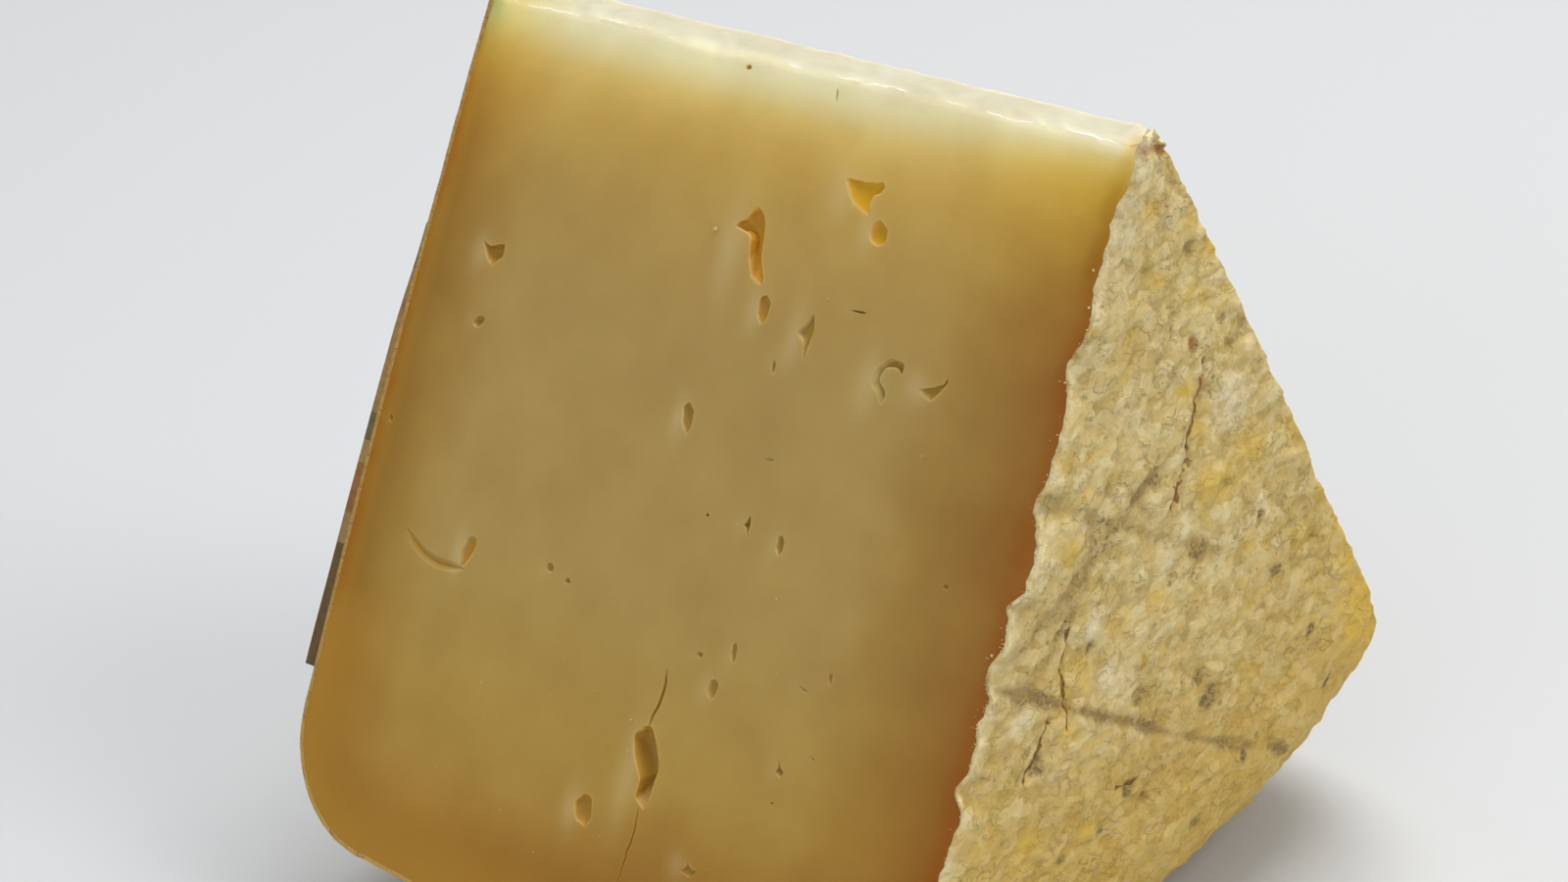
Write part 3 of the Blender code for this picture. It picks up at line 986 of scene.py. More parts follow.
@dataclass(frozen=True)
class RindRelief:
    """Height of the rind above the smooth wheel: lumps, crags, grit, pits, folds and cracks.

    The border's rows are (reach, height, half width) in mm of the chips and curls along the front
    cut. Each waver is a mean, a swing and a size, as Lattice.share takes them.
    """

    wheel: Wheel
    noise: Lattice
    marks: RindMarks = RindMarks()
    warp: Rough = Rough(6 * MM, 1.2 * MM)
    warp_shifts: tuple[float, float, float] = (0.0, 50 * MM, 100 * MM)
    stretch: float = 0.8
    lumps: Rough = Rough(14 * MM, 0.42 * MM)
    crags: Rough = Rough(3.8 * MM, 0.30 * MM)
    grains: Rough = Rough(1.6 * MM, 0.24 * MM)
    grit: Rough = Rough(0.9 * MM, 0.2 * MM)
    flakes: tuple[Rough, ...] = (Rough(3.0 * MM, 0.16 * MM), Rough(1.5 * MM, 0.14 * MM))
    pit_size: float = 3.4 * MM
    pit_depth: float = 0.30 * MM
    pit_share: float = 0.30
    pit_radius: tuple[float, float] = (0.10, 0.12)
    mark_depth: float = 0.45 * MM
    mark_waver: tuple[float, float, float] = (0.6, 0.8, 1.5 * MM)
    left_share: float = 0.45
    fold_depth: float = 0.45 * MM
    fold_waver: tuple[float, float, float] = (0.8, 0.6, 3 * MM)
    fold_wander: tuple[Rough, ...] = (Rough(5 * MM, 0.8 * MM), Rough(2 * MM, 0.3 * MM))
    crack_width: float = 0.45 * MM
    crack_depth: float = 0.35 * MM
    crack_wander: Rough = Rough(2.6 * MM, 0.35 * MM)
    crack_reach: float = 2.5 * MM
    border: Spots = (
        (6.0, 2.1, 3.2), (8.6, 0.5, 0.8), (10.8, -0.9, 0.8), (11.2, 0.9, 1.6), (12.6, -0.5, 0.6),
        (16.6, -0.1, 1.2), (22.0, 0.3, 2.0), (27.4, -1.2, 1.9), (33.6, 0.2, 1.6), (40.8, -0.9, 1.3),
        (46.6, 1.0, 2.0), (49.3, 0.5, 1.0), (51.7, -0.9, 0.9), (58.2, -0.9, 1.6), (63.9, -0.6, 1.2),
        (67.0, -0.4, 1.2), (70.3, -0.9, 1.5), (73.6, 0.5, 1.8),
    )
    border_shift: float = 0.3 * MM
    border_depth: float = 4 * MM
    border_colour_depth: float = 1.4 * MM
    tip_wander: Rough = Rough(1.8 * MM, 0.25 * MM)
    tip_bloom: float = 0.75 * MM
    lip_tall: float = 0.1 * MM
    lip_wide: float = 0.7 * MM
    hollow_below: float = 1.15 * MM
    hollow_deep: float = 0.5 * MM
    hollow_wide: float = 0.5 * MM
    label_band: tuple[float, float] = (31 * MM, 82 * MM)
    label_fade: float = 2 * MM
    calm: float = 12 * MM

    def spots(self, y: Array, drop: Array, spots: Spots) -> Array:
        """Sum of bells bell(distance / size) round each spot, held to 1."""
        total = sum(bell(np.hypot(y - sy * MM, drop - sd * MM) / (size * MM)) for sy, sd, size in spots)
        return np.minimum(total, 1)

    def folds(self, local: Array, y: Array, drop: Array) -> Array:
        """Folds of the cloth that the cheese was pressed in: share * bell(distance / width) of each.

        Args:
            local: points from the wheel's axis.
            y, drop: the same points as seen from the right.

        Returns:
            The folds' depth as a share from 0 to 1.
        """
        wander = sum(self.noise.height(local, rough) for rough in self.fold_wander)
        total = sum(share * bell((path_distance(y, drop, path) + wander) / (width * MM))
                    for share, width, path in self.marks.folds)
        return np.clip(total, 0, 1)

    def cracks(self, local: Array, y: Array, drop: Array) -> tuple[Array, Array]:
        """Signed distance to the nearest crack, wandering a little, and how much it shows there.

        Args:
            local: points from the wheel's axis.
            y, drop: the same points as seen from the right.

        Returns:
            The distance in metres, over 0 behind the crack and under 0 before it, and the share,
            1 on the crack, which fades at its ends and away from it.
        """
        side, share = np.full(y.shape, 9 * MM), np.zeros(y.shape)
        least = np.full(y.shape, np.inf)
        wander = self.noise.height(local, self.crack_wander)
        for path in self.marks.cracks:
            corners = np.array(path) * MM
            start, span = corners[0], corners[-1] - corners[0]
            from_y, from_drop = y - start[0], drop - start[1]
            along = (from_y * span[0] + from_drop * span[1]) / (span @ span)
            distance = path_distance(y, drop, path)
            if abs(span[1]) > abs(span[0]):
                behind = y > np.interp(drop, corners[:, 1], corners[:, 0])
            else:
                behind = from_y * span[1] > from_drop * span[0]
            closer = distance < least
            side = np.where(closer, np.where(behind, 1, -1) * distance + wander, side)
            fade = smoothstep(np.minimum(along, 1 - along) / 0.06 + 0.4)
            share = np.where(closer, fade * (1 - smoothstep(distance / self.crack_reach)), share)
            least = np.minimum(least, distance)
        return side, share

    def work_out(self, points: Array, normal_x: Array, reach: Array) -> tuple[Array, dict[str, Array]]:
        """Add up the relief: noises, border and lip, less pits, folds, cracks and the label's bed.

        Args:
            points: smooth skin's points in the row frame.
            normal_x: x of the skin's outward normal.
            reach: the points' distance from the wheel's axis.

        Returns:
            The height in metres, and what the finish reads: relief_mm; fold, pit, amber, bloom and
            stain, from 0 to 1 or a little more; crack_side, the distance to the nearest crack in mm
            with a sign for its side, and crack_share; border and left_border, 1 at the front cut.
        """
        local = points - self.wheel.axis
        y, drop = local[..., 1], -local[..., 2]
        warp = [self.noise.waves(local + shift, self.warp.size) for shift in self.warp_shifts]
        warp = np.stack(warp, axis=-1)
        bent = (local + warp * self.warp.tall) * (1, self.stretch, 1)
        lumps, crags, grains, grit = (self.noise.height(bent + 0.3 * rough.tall, rough)
                                      for rough in (self.lumps, self.crags, self.grains, self.grit))
        right = right_share(normal_x)
        swing = np.arctan2(y, drop)
        arc = (swing + self.wheel.half_wedge) * reach
        near = bell(arc / self.border_depth)
        edge = self.border_shift + sum(tall * MM * bell((reach - at * MM) / (wide * MM))
                                       for at, tall, wide in self.border)
        height = (lumps + crags) * (1 - 0.8 * near * right) + edge * near * right + grains + grit
        for flake in self.flakes:
            marks = self.noise.cells(bent + warp * 0.5 * flake.size, flake.size)[1]
            height += flake.tall * (marks - 0.5)
        below = reach - self.wheel.right_tip(swing) + self.noise.height(local, self.tip_wander)
        hollow = bell((below - self.hollow_below) / self.hollow_wide) * right
        height += self.lip_tall * bell(below / self.lip_wide) * right - self.hollow_deep * hollow
        gap, mark = self.noise.cells(bent, self.pit_size)
        radius = self.pit_radius[0] + self.pit_radius[1] * mark / self.pit_share
        pit = bell(gap / radius) * (mark < self.pit_share)
        ring = self.spots(y, drop, self.marks.pits) * right
        fold = self.folds(local, y, drop) * right
        side, share = self.cracks(local, y, drop)
        height *= self.left_share + (1 - self.left_share) * smoothstep(0.5 + normal_x)
        height -= self.pit_depth * pit + self.mark_depth * ring * self.noise.share(local, *self.mark_waver)
        height -= self.fold_depth * fold * self.noise.share(local, *self.fold_waver)
        height -= self.crack_depth * bell(side / self.crack_width) * share * right
        outside = np.maximum(self.label_band[0] - reach, reach - self.label_band[1])
        covered = (1 - smoothstep(outside / self.label_fade)) * (normal_x < -0.5)
        height *= (1 - covered) * (1 - 0.6 * near * (1 - right))
        height *= smoothstep(points[..., 2] / self.calm + 0.06)
        return height, {
            "relief_mm": height / MM,
            "fold": fold,
            "pit": np.clip(0.6 * pit + 1.2 * ring, 0, 1.2) * (1 - covered),
            "amber": self.spots(y, drop, self.marks.amber) * right,
            "bloom": np.maximum(self.spots(y, drop, self.marks.bloom), bell(below / self.tip_bloom)) * right,
            "stain": np.maximum(self.spots(y, drop, self.marks.stains) * right, 1.8 * hollow),
            "crack_side": side / MM,
            "crack_share": share * right,
            "border": bell(arc / self.border_colour_depth) * right,
            "left_border": near * (1 - right),
        }


@dataclass
class Rind:
    """The rind: a thin shell over the wheel's two faces and side, from one cut to the other."""

    wheel: Wheel
    relief: RindRelief
    thickness: float = 0.45 * MM
    proud: float = 0.04 * MM
    shallow: float = 1.0 * MM
    deep: float = 2.6 * MM
    crest: float = 1.0 * MM
    crest_fade: float = 1.2 * MM
    crest_waver: tuple[float, float, float] = (0.7, 0.5, 1.6 * MM)
    chip_run: float = 2.2 * MM
    tip_thins: float = 3.5 * MM
    tip_thickness: float = 0.72 * MM
    floor_clearance: float = 0.3 * MM
    slices: int = 200
    inner_slices: tuple[int, ...] = (0, 3, 14, 100, 185, 196, 199)
    counts: dict[str, int] = field(default_factory=lambda: {
        "left_face": 62, "left_edge": 28, "side": 66, "right_edge": 70, "right_face": 205})

    def outer(self, swings: Array) -> tuple[Array, Array, Array, Array, Array, dict[str, Array]]:
        """Relief-laden skin: the wheel's skin moved out by its relief's height along the normal.

        Args:
            swings: angles of the slices round the axis.

        Returns:
            x, reach, the smooth skin's normal as x and reach, the height, and what the finish reads.
        """
        x, reach, normal_x, normal_reach = self.wheel.skin(self.counts, swings)
        height, looks = self.relief.work_out(self.wheel.place(x, reach, swings), normal_x, reach)
        return x + height * normal_x, reach + height * normal_reach, normal_x, normal_reach, height, looks

    def inner_level(self, height: Array, reach: Array, swings: Array) -> Array:
        """Level of the shell's hidden skin, measured from the outer one along the normal.

        It lies deep inside, comes up towards the cuts and the tip, and ends one thickness below
        the outer skin on both cuts.

        Args:
            height: the relief's height.
            reach: distance from the wheel's axis.
            swings: angles of the slices round the axis.

        Returns:
            The level in metres, below 0.
        """
        level = -np.maximum(height, 0) - self.shallow
        level[:, 2:-2] = -self.deep - height[:, 2:-2]
        tip_share = 1 - smoothstep((reach - self.wheel.right_tip(swings)) / self.tip_thins)
        level += (-self.tip_thickness - level) * tip_share
        level[:, [0, -1]] = -self.thickness
        return level

    def crest_rise(self, surface: Array, reach: Array, swings: Array, normal_x: Array) -> Array:
        """Rise of the ragged crest where the right face ends at the tip: crest * waver * fades.

        Args:
            surface: points of the skin.
            reach: their distance from the wheel's axis.
            swings: angles of the slices round the axis.
            normal_x: x of the skin's outward normal.

        Returns:
            The rise in metres.
        """
        waver = self.relief.noise.share(surface, *self.crest_waver)
        fade = bell((reach - self.wheel.right_tip(swings)) / self.crest_fade)
        ahead = 1 - smoothstep((swings - self.wheel.chip_start) / (0.8 * self.wheel.half_wedge))
        return self.crest * waver * fade * ahead * right_share(normal_x)

    def build(self, material: bpy.types.Material) -> bpy.types.Object:
        """Make the shell: outer skin, deeper inner skin, and the edges that show at the cuts.

        Args:
            material: its finish.

        Returns:
            The piece.
        """
        swings = np.linspace(-self.wheel.half_wedge, self.wheel.half_wedge, self.slices)
        x, reach, normal_x, normal_reach, height, looks = self.outer(swings)
        rows = list(self.inner_slices)
        level = self.inner_level(height[:, rows], reach[:, rows], swings[rows])
        inner_x = x[:, rows] + level * normal_x[:, rows]
        inner_reach = reach[:, rows] + level * normal_reach[:, rows]
        skin = self.wheel.place(x, reach, swings)
        inner = self.wheel.place(inner_x, inner_reach, swings[rows])
        for surface, at, lowest in ((skin, slice(None), 0), (inner, rows, self.floor_clearance)):
            for cut, row in zip(self.wheel.cuts, (0, -1)):
                surface[:, row] += cut.outward * self.proud
            surface[..., 2] += self.crest_rise(surface, reach[:, at], swings[at], normal_x[:, at])
            surface[..., 2] = np.maximum(surface[..., 2], lowest)
        outer_index = vertex_numbers(skin)
        inner_index = vertex_numbers(inner, outer_index.size)
        faces = grid_faces(outer_index).tolist() + grid_faces(inner_index[:, ::-1]).tolist()
        for row in (0, -1):
            faces += grid_faces(np.stack([outer_index[:, row], inner_index[:, row]], axis=1)).tolist()
        for end in (0, -1):
            faces.append(outer_index[end].tolist() + inner_index[end, ::-1].tolist())
        obj = make_piece("rind", np.concatenate([skin.reshape(-1, 3), inner.reshape(-1, 3)]), faces, sharp=75)
        low_side = 0.75 * smoothstep((reach / MM - 48) / 45)
        looks["lower"] = np.maximum(smoothstep((0.45 - normal_x) / 0.5), low_side)
        for name, values in looks.items():
            store(obj, name, np.concatenate([values.ravel(), values[:, rows].ravel()]))
        settle(obj, material, CHEESE_SLOT, "pecorino_wedge")
        return obj


class EyeShape(Enum):
    """Outlines of an eye's mouth, as corners (across, down), each from -0.5 to 0.5."""

    OVAL = ((-0.5, 0.0), (-0.3, -0.4), (0.1, -0.5), (0.5, -0.1), (0.4, 0.35), (0.0, 0.5), (-0.4, 0.3))
    SHARD = ((-0.3, -0.4), (0.2, -0.5), (0.5, -0.2), (0.2, 0.3), (-0.2, 0.5), (-0.5, 0.1))
    HEART = ((-0.5, -0.5), (-0.16, -0.2), (0.5, -0.28), (0.45, 0.2), (-0.05, 0.5), (-0.3, 0.25))
    ARROW = ((0.23, -0.5), (0.46, -0.36), (0.5, -0.22), (0.4, 0.15), (0.5, 0.42), (0.42, 0.5), (0.1, 0.4),
             (0.0, 0.15), (0.05, -0.1), (-0.1, -0.18), (-0.5, -0.27), (-0.1, -0.36))
    TEAR = ((0.45, -0.5), (0.5, -0.1), (0.1, 0.3), (-0.05, 0.5), (-0.1, 0.1), (-0.5, -0.1), (0.0, -0.25))
    HOOK = ((0.08, -0.5), (-0.35, -0.28), (-0.5, 0.0), (-0.3, 0.2), (-0.18, 0.5), (-0.02, 0.25),
            (-0.25, -0.05), (-0.05, -0.3), (0.3, -0.28), (0.4, -0.1), (0.5, -0.35))
    CRESCENT = ((-0.5, -0.1), (-0.1, -0.1), (0.25, -0.2), (0.45, -0.5), (0.5, -0.3), (0.2, 0.15),
                (-0.1, 0.5), (-0.35, 0.25))
    FLAG = ((-0.5, -0.5), (0.0, -0.35), (0.5, -0.25), (0.45, -0.05), (0.15, 0.05), (0.12, 0.5),
            (-0.1, 0.35), (-0.35, 0.05))
    CHASM = ((-0.1, -0.5), (0.2, -0.48), (0.35, -0.3), (0.5, -0.02), (0.3, 0.22), (0.15, 0.4), (0.0, 0.5),
             (-0.38, 0.35), (-0.2, 0.15), (-0.45, -0.15), (-0.5, -0.4))
    SLIT = ((-0.5, -0.3), (0.0, -0.1), (0.5, 0.3), (0.2, 0.45), (-0.1, 0.2))
    STAR = ((-0.1, -0.5), (0.12, 0.0), (0.5, 0.15), (0.05, 0.5), (-0.5, 0.15), (-0.15, 0.0))


@dataclass(frozen=True)
class Eye:
    """A hole that gas left in the paste, cut open: place and size in mm, lean in degrees.

    Its amber runs from 0, as brown as the paste, over 0.5, amber, to 1, golden.
    """

    x: float
    reach: float
    width: float
    length: float
    shape: EyeShape = EyeShape.OVAL
    depth: float = 0.8
    lean: float = 16.0
    amber: float = 0.0


@dataclass(frozen=True)
class Crack:
    """A hairline split in the paste: its path as (x, reach), its width and depth, all in mm."""

    path: Path
    width: float
    depth: float
    amber: float = 0.0


FRONT_EYES = (
    Eye(0.5, 24.0, 4.2, 8.6, EyeShape.ARROW, 1.1, amber=0.5),
    Eye(4.6, 30.0, 1.9, 3.3, EyeShape.SHARD, 0.55, amber=0.25),
    Eye(10.8, 31.4, 2.3, 5.0, EyeShape.TEAR, 0.38),
    Eye(16.7, 27.4, 2.3, 0.7, EyeShape.SLIT, 0.35),
    Eye(22.5, 33.5, 4.2, 4.8, EyeShape.HOOK, 0.4),
    Eye(28.3, 33.0, 3.7, 2.3, EyeShape.CRESCENT, 0.38),
    Eye(13.5, 15.9, 5.4, 4.4, EyeShape.FLAG, 0.55, amber=1.0),
    Eye(16.5, 19.2, 2.4, 2.8, EyeShape.OVAL, 0.5, amber=0.7),
    Eye(4.8, 79.4, 3.7, 8.9, EyeShape.CHASM, 2.2, amber=0.12),
    Eye(-1.8, 85.9, 3.0, 3.6, EyeShape.SHARD, 0.8, 40, amber=0.2),
    Eye(13.6, 87.6, 2.5, 1.9, EyeShape.STAR, 0.4),
    Eye(10.8, 69.2, 1.7, 2.3, EyeShape.SHARD, 0.32),
    Eye(8.0, 66.2, 0.9, 0.7, EyeShape.OVAL, 0.25),
    Eye(12.3, 64.9, 0.9, 2.5, EyeShape.SHARD, 0.32),
    Eye(22.0, 65.9, 1.6, 0.7, EyeShape.SLIT, 0.28, 0),
    Eye(25.1, 64.1, 0.7, 1.4, EyeShape.SHARD, 0.28),
    Eye(21.8, 74.5, 1.2, 2.0, EyeShape.STAR, 0.4),
    Eye(25.4, 72.3, 0.4, 0.8, EyeShape.SLIT, 0.3, 40),
    Eye(22.0, 78.1, 0.3, 0.3),
    Eye(-34.0, 32.0, 3.2, 3.1, EyeShape.HEART, 0.9, amber=0.15),
    Eye(-33.5, 39.8, 1.8, 1.4, EyeShape.SHARD, 0.45),
    Eye(-1.6, 43.1, 1.8, 3.5, EyeShape.SHARD, 0.5, 22),
    Eye(14.5, 52.8, 1.2, 2.3, EyeShape.SHARD, 0.42),
    Eye(9.7, 52.0, 1.0, 2.4, EyeShape.TEAR, 0.6),
    Eye(-26.7, 64.2, 1.9, 4.2, EyeShape.SHARD, 0.4, -10, amber=0.3),
    Eye(-42.6, 52.9, 0.7, 0.9, EyeShape.OVAL, 0.35),
    Eye(-14.8, 62.8, 1.2, 1.2, EyeShape.OVAL, 0.28),
    Eye(-11.9, 63.5, 0.9, 0.7, EyeShape.OVAL, 0.3),
    Eye(-5.7, 5.9, 0.9, 0.6, EyeShape.OVAL, 0.4, amber=0.8),
    Eye(6.7, 6.6, 0.4, 1.7, EyeShape.SHARD, 0.25, amber=1.0),
    Eye(10.3, 44.6, 1.4, 0.4, EyeShape.SLIT, 0.3),
    Eye(7.8, 35.4, 0.6, 1.6, EyeShape.SHARD, 0.3),
    Eye(4.3, 52.1, 0.4, 0.4),
    Eye(36.0, 51.5, 0.8, 0.6, EyeShape.OVAL, 0.3),
)
FRONT_CRACKS = (
    Crack(((4.2, 68.7), (4.6, 71.2), (4.4, 72.6), (3.9, 74.0), (3.9, 75.6)), 0.4, 0.7, 0.1),
    Crack(((5.2, 83.2), (5.4, 86.4), (5.2, 88.6), (5.0, 92.0)), 0.35, 0.5, 0.1),
    Crack(((44.9, 4.9), (45.3, 6.2), (45.2, 7.6)), 0.9, 1.0),
    Crack(((-36.4, 63.8), (-34.7, 64.9), (-33.0, 65.8), (-30.6, 66.3), (-26.4, 66.0)), 1.25, 0.22, 0.2),
)


@dataclass
class Paste:
    """The paste inside the rind: two cut faces with eyes and cracks, and the rough sliced tip.

    An eye's levels are (rise, share): how far each ring of its cutter stands out of the cut in mm
    or, below 0, how far in as a share of the eye's depth, and its size as a share of the mouth.
    """

    wheel: Wheel
    noise: Lattice
    columns: int = 181
    rows: int = 141
    strip_rows: int = 12
    under_rind: float = 0.35 * MM
    wave: Rough = Rough(20 * MM, 0.14 * MM)
    ripple: Rough = Rough(6 * MM, 0.035 * MM)
    wave_fade: float = 0.05
    crease_rough: Rough = Rough(3.0 * MM, 0.22 * MM)
    crease_drop: float = 0.75 * MM
    crease_waver: tuple[float, float, float] = (1.0, 0.7, 16 * MM)
    crease_fade: float = 0.03
    strip_rough: tuple[Rough, ...] = (Rough(2.0 * MM, 0.24 * MM), Rough(0.9 * MM, 0.12 * MM))
    tuck: float = 0.95
    tuck_swing: float = 0.9
    eye_levels: tuple[tuple[float, float], ...] = (
        (0.3, 1.1), (0.0, 1.02), (-0.12, 0.98), (-0.5, 0.88), (-0.82, 0.66), (-0.97, 0.36),
    )
    eye_overhang: tuple[float, float] = (0.12, -0.06)
    eye_wobble: Rough = Rough(0.8 * MM, 0.10)
    crack_wobble: Rough = Rough(1.3 * MM, 0.22)
    back_eye_seed: int = 11
    back_eye_count: int = 34
    # Adds to the reach that the colour ramp reads, painted glow included, on the right of the front cut below
    # the crease.
    golden_shift: float = 2.0
    # Strength of the painted highlight beside each eye.
    eye_highlight_strength: float = 0.3
    crease: Array | None = None

    def face_outline(self, rind: Rind, row: int) -> tuple[Array, Array, Array, Array]:
        """The cut face's four sides, just under the rind's edge, as (x, reach) rows.

        Args:
            rind: the rind that borders the face.
            row: 0 for the front cut, -1 for the back cut.

        Returns:
            The top, bottom, left and right side.
        """
        x, reach, normal_x, normal_reach, *_ = rind.outer(np.array([self.wheel.cuts[row].swing]))
        inward_x, inward_reach = x - self.under_rind * normal_x, reach - self.under_rind * normal_reach
        edge = np.concatenate([inward_x, inward_reach], axis=1)
        counts = rind.counts
        left_turn = counts["left_face"] + counts["left_edge"] // 2
        right_turn = len(edge) - counts["right_face"] - counts["right_edge"] // 2
        bend = np.array([edge[-1, 0] - rind.chip_run, edge[0, 1]])
        top = resample(np.stack([edge[0], bend, edge[-1]]), self.columns)
        along = self.wheel.place(top[:, 0], top[:, 1], self.wheel.cuts[row].swing)
        share = np.linspace(0, 1, self.columns)
        ragged = self.noise.height(along, self.crease_rough)
        if row == 0:
            ragged += self.crease_drop * self.noise.share(along, *self.crease_waver)
        top[:, 1] += smoothstep(np.minimum(share, 1 - share) / self.crease_fade) * ragged
        bottom = resample(edge[left_turn:right_turn + 1], self.columns)
        left = resample(edge[:left_turn + 1], self.rows)
        right = resample(edge[right_turn:][::-1], self.rows)
        return top, bottom, left, right

    def face(self, rind: Rind, row: int) -> tuple[Array, Array]:
        """A cut face as a Coons patch, a little wavy from the knife.

        P(a, b) = (1 - b) T(a) + b B(a) + (1 - a) L(b) + a R(b) less the corners' bilinear blend.

        Args:
            rind: the rind that borders the face.
            row: 0 for the front cut, -1 for the back cut.

        Returns:
            The patch as (x, reach) and as row-frame points.
        """
        top, bottom, left, right = self.face_outline(rind, row)
        a = np.linspace(0, 1, self.columns)[:, None, None]
        b = np.linspace(0, 1, self.rows)[None, :, None]
        flat = (1 - b) * top[:, None] + b * bottom[:, None] + (1 - a) * left[None] + a * right[None]
        flat -= (1 - a) * (1 - b) * top[0] + a * (1 - b) * top[-1]
        flat -= (1 - a) * b * bottom[0] + a * b * bottom[-1]
        cut = self.wheel.cuts[row]
        points = self.wheel.place(flat[..., 0], flat[..., 1], cut.swing)
        inside = np.minimum(np.minimum(a, 1 - a), np.minimum(b, 1 - b))[..., 0]
        swell = self.swell(points) * smoothstep(inside / self.wave_fade)
        return flat, points + swell[..., None] * cut.outward

    def swell(self, points: Array) -> Array:
        """Height of the cut's slow waves and fine ripple at these points, in metres."""
        return self.noise.height(points, self.wave) + self.noise.height(points, self.ripple)

    def tip_strip(self, front: Array, back: Array) -> Array:
        """Broken surface of the sliced tip, straight between two edges but for noise * sqrt(sin(pi t)).

        The front edge sags, and the strip comes up from it by sag * (u - u**5), u = 1 - t.

        Args:
            front, back: upper edges of the two cut faces.

        Returns:
            Points of shape (columns, rows, 3), without the two edges themselves.
        """
        t = np.linspace(0, 1, self.strip_rows)[None, 1:-1, None]
        front, back = front[:, None], back[:, None]
        strip = front + (back - front) * t
        t = t[..., 0]
        rough = sum(self.noise.height(strip, rough) for rough in self.strip_rough)
        sag = self.wheel.axis[2] - self.wheel.tip_drop - front[..., 2]
        strip[..., 2] += rough * np.sqrt(np.sin(math.pi * t)) + sag * ((1 - t) - (1 - t) ** 5)
        return strip

    def body(self, rind: Rind) -> bpy.types.Object:
        """Make the closed paste: both faces, the tip's strip between them, and hidden sides.

        Args:
            rind: the rind that borders the paste.

        Returns:
            The piece, not carved yet.
        """
        flats, fronts = zip(*(self.face(rind, row) for row in (0, -1)))
        self.crease = fronts[0][:, 0]
        strip = self.tip_strip(fronts[0][:, 0], fronts[1][:, 0])
        index = [vertex_numbers(fronts[0]), vertex_numbers(fronts[1], fronts[0][..., 0].size)]
        middle = vertex_numbers(strip, 2 * index[0].size)
        strip_index = np.concatenate([index[0][:, :1], middle, index[1][:, :1]], axis=1)
        rims, rings = [], []
        centre = np.array([0, 0.55 * self.wheel.radius])
        for cut, flat, numbers in zip(self.wheel.cuts, flats, index):
            loop = [(0, slice(None)), (slice(1, None), -1), (-1, slice(-2, None, -1))]
            rims.append(np.concatenate([numbers[key] for key in loop]))
            outline = np.concatenate([flat[key] for key in loop])
            tucked = centre + self.tuck * (outline - centre)
            rings.append(self.wheel.place(tucked[:, 0], tucked[:, 1], cut.swing * self.tuck_swing))
        ring_index = vertex_numbers(np.array(rings), 2 * index[0].size + middle.size)
        wall = np.stack([rims[0], ring_index[0], ring_index[1], rims[1]], axis=1)
        faces = grid_faces(index[0]).tolist() + grid_faces(index[1][::-1]).tolist()
        faces += grid_faces(strip_index[::-1]).tolist() + grid_faces(wall[::-1]).tolist()
        for end in (0, -1):
            faces.append(strip_index[end].tolist() + [ring_index[1][end], ring_index[0][end]])
        points = np.concatenate([points.reshape(-1, 3) for points in (*fronts, strip, *rings)])
        return make_piece("paste", points, faces)

    def on_cut(self, cut: Cut, x: Array, reach: Array, rise: Array) -> Array:
        """Row-frame points at (x, reach) of a cut, in mm, raised rise mm out of it."""
        base = self.wheel.place(x * MM, reach * MM, cut.swing)
        return base + np.multiply.outer(rise * MM, cut.outward)

    def mouth(self, eye: Eye) -> Array:
        """Outline of an eye's mouth, rounded between its corners by a running mean.

        Args:
            eye: the eye.

        Returns:
            The outline as (across, down) in mm, once round.
        """
        corners = np.array(eye.shape.value) * (eye.width, eye.length)
        closed = np.concatenate([corners[-1:], corners, corners[:2]])
        fine = resample(closed, 8 * len(closed))
        kernel = np.ones(5) / 5
        rounded = np.stack([np.convolve(column, kernel, "valid") for column in fine.T], axis=1)
        middle = len(rounded) // 2
        seam = (corners[-1] + corners[0]) / 2
        first = np.argmin(np.linalg.norm(rounded[:len(rounded) // 3] - seam, axis=1))
        last = middle + np.argmin(np.linalg.norm(rounded[middle:] - rounded[first], axis=1))
        return rounded[first:last]

    def eye_cutter(self, cut: Cut, eye: Eye, label: int) -> bpy.types.Object:
        """Make the solid that hollows out one eye: its mouth's outline carried inwards.

        Each ring is the mouth times the share of its level, and it is shifted sideways with depth
        so that one wall overhangs.

        Args:
            cut: the cut that the eye is in.
            eye: the eye.
            label: the cutter's number, which also sets its wobble apart.

        Returns:
            The closed cutter.
        """
        mouth = self.mouth(eye)
        turn = math.radians(eye.lean)
        overhang = np.array(self.eye_overhang) * (eye.width, eye.length)
        rings = []
        for rise, share in self.eye_levels:
            flat = mouth * share + overhang * max(0, -rise)
            across = flat[:, 0] * math.cos(turn) + flat[:, 1] * math.sin(turn)
            down = flat[:, 1] * math.cos(turn) - flat[:, 0] * math.sin(turn)
            height = np.full(len(flat), rise * eye.depth if rise < 0 else rise)
            rings.append(self.on_cut(cut, eye.x + across, eye.reach + down, height))
        points = np.array(rings)
        widest = min(eye.width, eye.length, 2) * MM
        wobble = widest * self.noise.height(points[2:] + label, self.eye_wobble)
        points[2:] += wobble[..., None] * (cut.down + np.array([0.7, 0, 0]))
        index = vertex_numbers(points)
        looped = np.concatenate([index, index[:, :1]], axis=1)
        faces = grid_faces(looped).tolist() + [index[0].tolist(), index[-1].tolist()]
        return make_piece(f"eye_cutter_{label}", points.reshape(-1, 3), faces)

